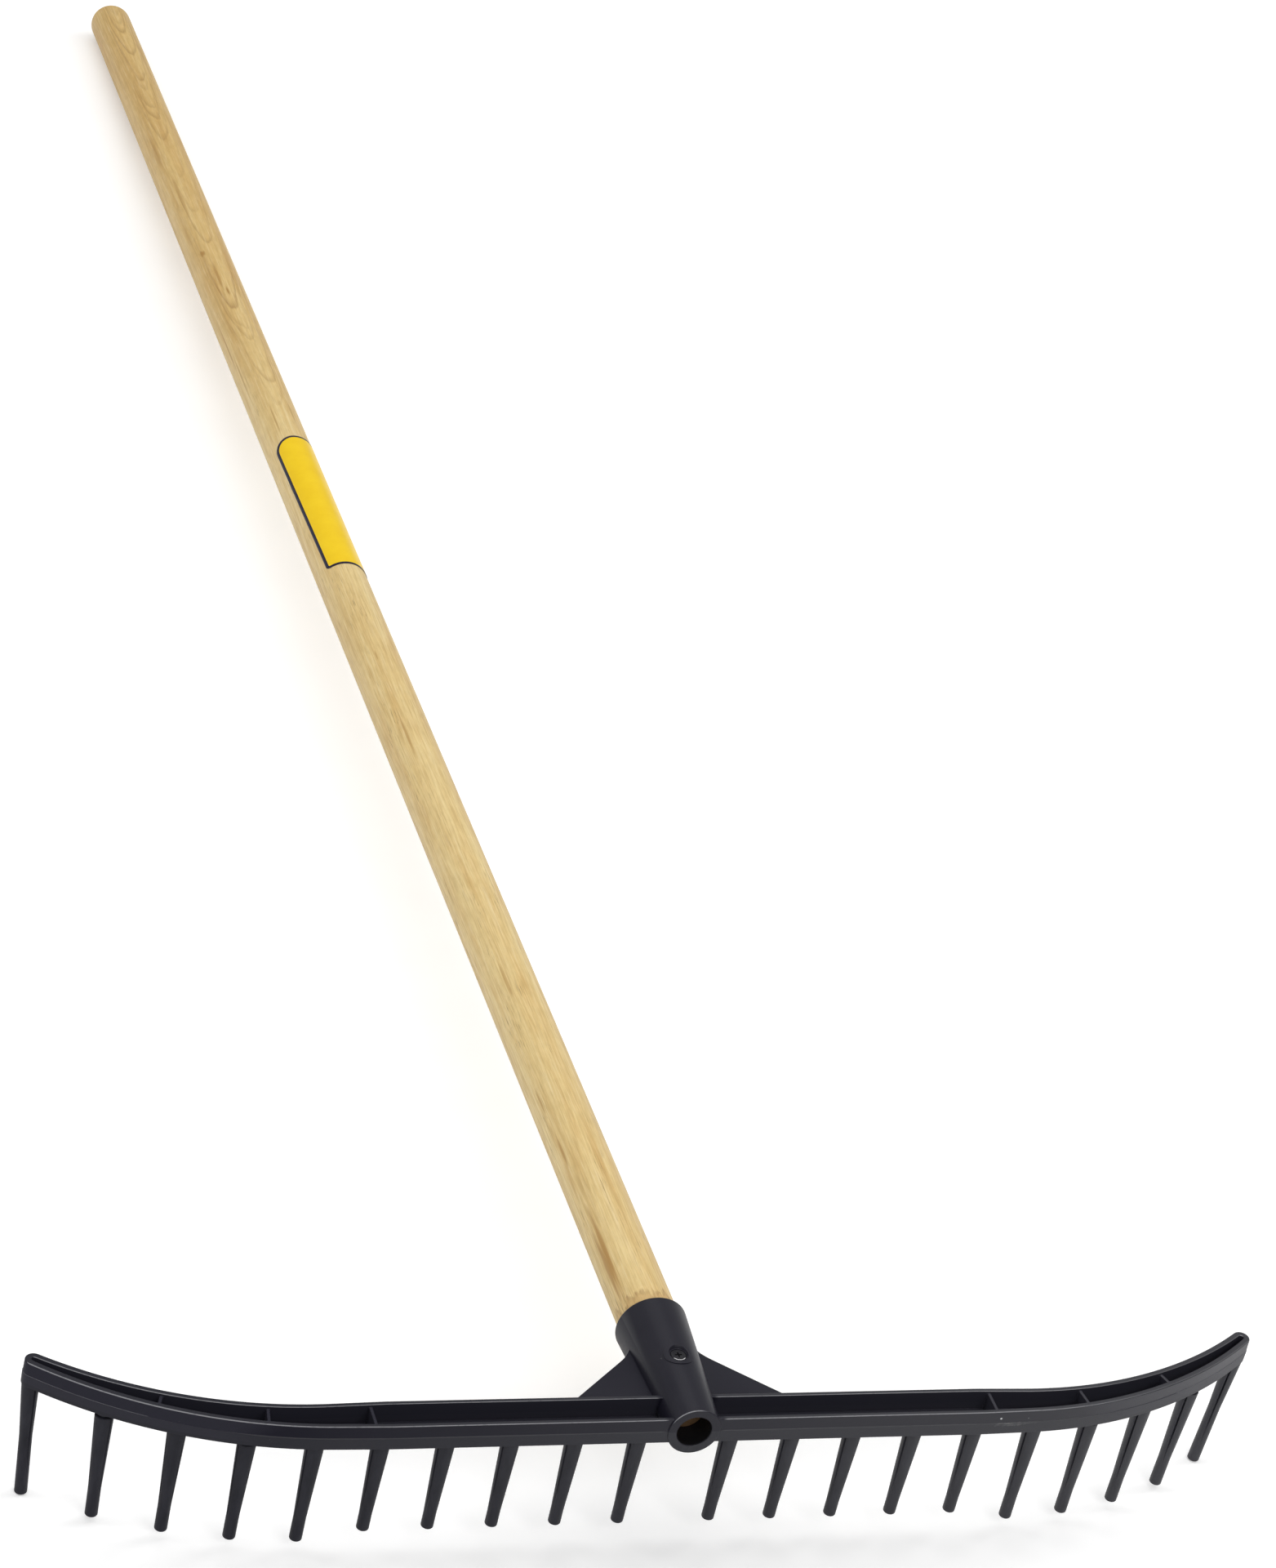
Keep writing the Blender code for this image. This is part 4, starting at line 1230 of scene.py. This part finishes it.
# %% [markdown]
# ## The handle
#
# The handle is a turned pole: a taper that fills the socket, a plain round length, and a domed
# butt, a little flatter than a half ball. Its front edge is broken by a small chamfer.

# %% Make the handle
HANDLE_BUTT = 1560 * MM
HANDLE_DOME = 12 * MM
HANDLE_CHAMFER = 0.5 * MM
LENGTH_STEPS, DOME_STEPS = 25, 20


def make_handle():
    start, end = HANDLE_FRONT + HANDLE_TAPER, HANDLE_BUTT - HANDLE_DOME
    profile = [
        (0, HANDLE_FRONT),
        (HANDLE_FRONT_RADIUS - HANDLE_CHAMFER, HANDLE_FRONT),
        (HANDLE_FRONT_RADIUS + 0.04 * MM, HANDLE_FRONT + HANDLE_CHAMFER),
    ]
    for i in range(LENGTH_STEPS):
        profile.append((HANDLE_RADIUS, start + (end - start) * i / LENGTH_STEPS))
    for i in range(DOME_STEPS):
        angle = math.pi / 2 * i / DOME_STEPS
        height = HANDLE_BUTT - HANDLE_DOME * (1 - math.sin(angle))
        profile.append((HANDLE_RADIUS * math.cos(angle), height))
    profile.append((0, HANDLE_BUTT))
    return combined(turned_along_y(profile, SOCKET_STEPS), "DIFFERENCE", make_screw_hole())


handle = make_piece("handle_turned", make_handle(), [pale_wood], ["handle"], sharp=45)
print("handle faces:", len(handle.data.polygons))

# %% [markdown]
# ## The screw
#
# One countersunk screw goes down through the boss into the handle. Only its head shows: a turned
# head with a softened rim and a cross recess.

# %% Make the screw
RECESS_ARM = (3.4 * MM, 0.8 * MM, 2 * MM)


def make_screw():
    profile = [
        (0, SCREW_TIP),
        (SCREW_SHANK, SCREW_TIP + 3 * MM),
        (SCREW_SHANK, SCREW_TOP - 2 * MM),
        (SCREW_HEAD, SCREW_TOP - 0.5 * MM),
    ]
    rim, below = (SCREW_HEAD, SCREW_TOP), (SCREW_HEAD, SCREW_TOP - 1 * MM)
    profile += rounded_corner(rim, below, (0, SCREW_TOP), 0.2 * MM)
    profile += [(0, SCREW_TOP)]
    screw = turned(profile, SCREW_STEPS)
    for angle in (0, math.pi / 2):
        arm = block(*RECESS_ARM)
        turn(arm, angle, "Z")
        screw = combined(screw, "DIFFERENCE", move(arm, 0, 0, SCREW_TOP))
    return move(screw, 0, SCREW_PLACE, 0)


steel = [blackened_steel]
screw = make_piece("fixing_screw_turned", make_screw(), steel, ["fixing_screw"])
print("screw faces:", len(screw.data.polygons))

# %% [markdown]
# ## The sticker
#
# The sticker is cut flat and then wrapped. Its outline is a rectangle whose corners are bevelled
# round: large ones at the far end, small ones at the near end. An inset gives the dark border its
# own faces. Planes then cut the flat sheet into narrow strips, so that it can bend, and each
# vertex is carried from the flat sheet to the round handle. Last, the sheet gets its thickness.

# %% Make the sticker
LABEL_PLACE = 740 * MM
LABEL_LENGTH = 155 * MM
LABEL_START = math.radians(144)
LABEL_WRAP = math.radians(184)
LABEL_TWIST = math.radians(7.5)
LABEL_RADIUS = HANDLE_RADIUS + 0.3 * MM
LABEL_THICKNESS = 0.2 * MM
LABEL_WIDTH = LABEL_WRAP * LABEL_RADIUS
LABEL_BORDER = 1.9 * MM
NEAR_CORNER, FAR_CORNER = 3 * MM, 15 * MM
CORNER_STEPS = 14
STRIPS_ACROSS, STRIPS_ALONG = 40, 16


def flat_label():
    bm = bmesh.new()
    bmesh.ops.create_grid(bm, x_segments=1, y_segments=1, size=0.5)
    bmesh.ops.scale(bm, verts=bm.verts, vec=(LABEL_WIDTH, LABEL_LENGTH, 1))
    move(bm, LABEL_WIDTH / 2, LABEL_LENGTH / 2, 0)
    for radius, end in ((NEAR_CORNER, 0), (FAR_CORNER, LABEL_LENGTH)):
        corners = [vert for vert in bm.verts if abs(vert.co.y - end) < 0.1 * MM]
        round_edges(bm, corners, radius, CORNER_STEPS, "VERTICES")
    sheet = list(bm.faces)
    inset = bmesh.ops.inset_region(bm, faces=sheet, thickness=LABEL_BORDER, use_boundary=True)
    for face in inset["faces"]:
        face.material_index = 1
    print("sticker's flat faces:", len(bm.faces), "of them border:", len(inset["faces"]))
    for axis, reach, count in ((0, LABEL_WIDTH, STRIPS_ACROSS), (1, LABEL_LENGTH, STRIPS_ALONG)):
        for i in range(1, count):
            place, normal = Vector((0, 0, 0)), Vector((0, 0, 0))
            place[axis], normal[axis] = reach * i / count, 1
            everything = [*bm.verts, *bm.edges, *bm.faces]
            bmesh.ops.bisect_plane(
                bm, geom=everything, dist=WELD_DISTANCE, plane_co=place, plane_no=normal,
            )
    return bm


def make_label():
    bm = flat_label()
    for vert in bm.verts:
        across, along, _ = vert.co
        angle = LABEL_START + LABEL_TWIST * (along / LABEL_LENGTH - 0.5) - across / LABEL_RADIUS
        out, up = LABEL_RADIUS * math.cos(angle), LABEL_RADIUS * math.sin(angle)
        vert.co = (out, LABEL_PLACE + along, up)
    bmesh.ops.solidify(bm, geom=list(bm.faces), thickness=LABEL_THICKNESS)
    bmesh.ops.recalc_face_normals(bm, faces=bm.faces)
    reach = [math.hypot(vert.co.x, vert.co.z) / MM for vert in bm.verts]
    print("sticker lies", round(min(reach), 3), "to", round(max(reach), 3), "mm from the axis")
    return bm


films = [yellow_film, navy_ink]
label = make_piece("label_wrapped", make_label(), films, ["label"], sharp=50)
inked = sum(1 for face in label.data.polygons if face.material_index == 1)
print("sticker faces:", len(label.data.polygons), "with ink:", inked)

# %% [markdown]
# ## Floor, light and camera
#
# The rake stands on a plain white floor under soft studio light. A large softbox hangs overhead,
# two stand left and right, and a wide low one in front reaches into the open end of the socket.
# The sky between them is dim, so the middle of the socket looks dark and its sides, which mirror
# the white floor, look bright. The floor shows white to the camera and in reflections, also far
# away, where the lamps no longer reach it, and it keeps its shadows near the rake.

# %% Make the floor
FLOOR_TONES = [(0.3, (0.88, 0.88, 0.88)), (0.7, (0.90, 0.90, 0.90))]
NEAR_GLOW, FAR_GLOW, MIRRORED_GLOW = 0.26, 1.0, 0.05
LAMPS_FADE_FROM, LAMPS_FADE_TO = 2.5, 6.0


def floor_finish():
    finish = Finish("white_floor")
    place = finish.in_head_frame()
    path = finish.node("ShaderNodeLightPath").outputs
    away = finish.length(place)
    shown = finish.span(away, LAMPS_FADE_FROM, LAMPS_FADE_TO, NEAR_GLOW, FAR_GLOW)
    mirrored = finish.larger(path["Is Glossy Ray"], path["Is Transmission Ray"])
    glow = finish.times(mirrored, MIRRORED_GLOW)
    return finish.surface({
        "Base Color": finish.ramp(finish.noise(place, 40, 2), FLOOR_TONES),
        "Roughness": 0.9,
        "Specular IOR Level": 0.0,
        "Emission Color": (1, 1, 1, 1),
        "Emission Strength": finish.math("MULTIPLY_ADD", path["Is Camera Ray"], shown, glow),
    })


def make_floor():
    bm = bmesh.new()
    bmesh.ops.create_circle(bm, cap_ends=True, segments=64, radius=60)
    mesh = mesh_of("white_floor", move(bm, 0, 0, -0.2 * MM))
    mesh.materials.append(floor_finish())
    floor = in_scene("white_floor", mesh)
    floor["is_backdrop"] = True
    return floor


floor = make_floor()
print("floor:", floor.name)

# %% Set the world and the lamps
LAMPS = [
    # name, place, what it points at, size in metres, power in watts
    ("softbox_overhead", (0, 0.5, 3.5), (0, 0.4, 0), (3.0, 4.0), 42),
    ("softbox_left", (-2.8, 0.3, 2.6), (0, 0.1, 0), (1.8, 3.0), 37),
    ("softbox_right", (2.8, 0.2, 2.6), (0, 0, 0), (1.8, 3.0), 44),
    ("softbox_front", (0, -3.0, 2.4), (0, -0.5, 0), (3.0, 1.2), 38),
]
SKY_STRENGTH = 0.28


def set_world(strength):
    world = bpy.data.worlds.new("soft_room")
    world.use_nodes = True
    nodes, links = world.node_tree.nodes, world.node_tree.links
    path = nodes.new("ShaderNodeLightPath")
    level = nodes.new("ShaderNodeMapRange")
    level.inputs["To Min"].default_value = strength
    level.inputs["To Max"].default_value = 1.0
    links.new(path.outputs["Is Camera Ray"], level.inputs["Value"])
    links.new(level.outputs[0], nodes["Background"].inputs["Strength"])
    nodes["Background"].inputs["Color"].default_value = (1, 1, 1, 1)
    bpy.context.scene.world = world


def add_lamp(name, place, target, size, power):
    lamp = bpy.data.lights.new(name, "AREA")
    lamp.shape = "RECTANGLE"
    lamp.size, lamp.size_y = size
    lamp.energy = power
    item = in_scene(name, lamp)
    item.location = place
    item.rotation_euler = (Vector(target) - Vector(place)).to_track_quat("-Z", "Y").to_euler()


set_world(SKY_STRENGTH)
for lamp in LAMPS:
    add_lamp(*lamp)
bpy.context.scene.view_settings.view_transform = "Standard"

# %% [markdown]
# The camera stands left of the head and above it, and looks back along the handle. Its place,
# turn and focal length were solved from the places of the tines, the beam's edges, the socket's
# rings and the handle's edges in the photograph.

# %% Set the camera
CAMERA_PLACE = (-0.67878, -2.14124, 1.35449)
CAMERA_TURN = (56.8753, -12.036, -15.1883)


def set_camera():
    data = bpy.data.cameras.new("camera")
    data.sensor_width = 36
    data.lens = 100.742
    data.clip_end = 200
    camera = in_scene("camera", data)
    camera.location = CAMERA_PLACE
    camera.rotation_euler = [math.radians(angle) for angle in CAMERA_TURN]
    bpy.context.scene.camera = camera


set_camera()
print("camera set")

# %% [markdown]
# ## Measure the boxes
#
# The dressed rake has to keep the imported model's size, so both boxes are measured and printed.

# %% Measure and print the boxes
dressed_box = [list(corner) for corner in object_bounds()]
for axis in range(3):
    packed = (packed_box[1][axis] - packed_box[0][axis]) / MM
    dressed = (dressed_box[1][axis] - dressed_box[0][axis]) / MM
    print("xyz"[axis], "packed", round(packed, 2), "mm, dressed", round(dressed, 2), "mm")
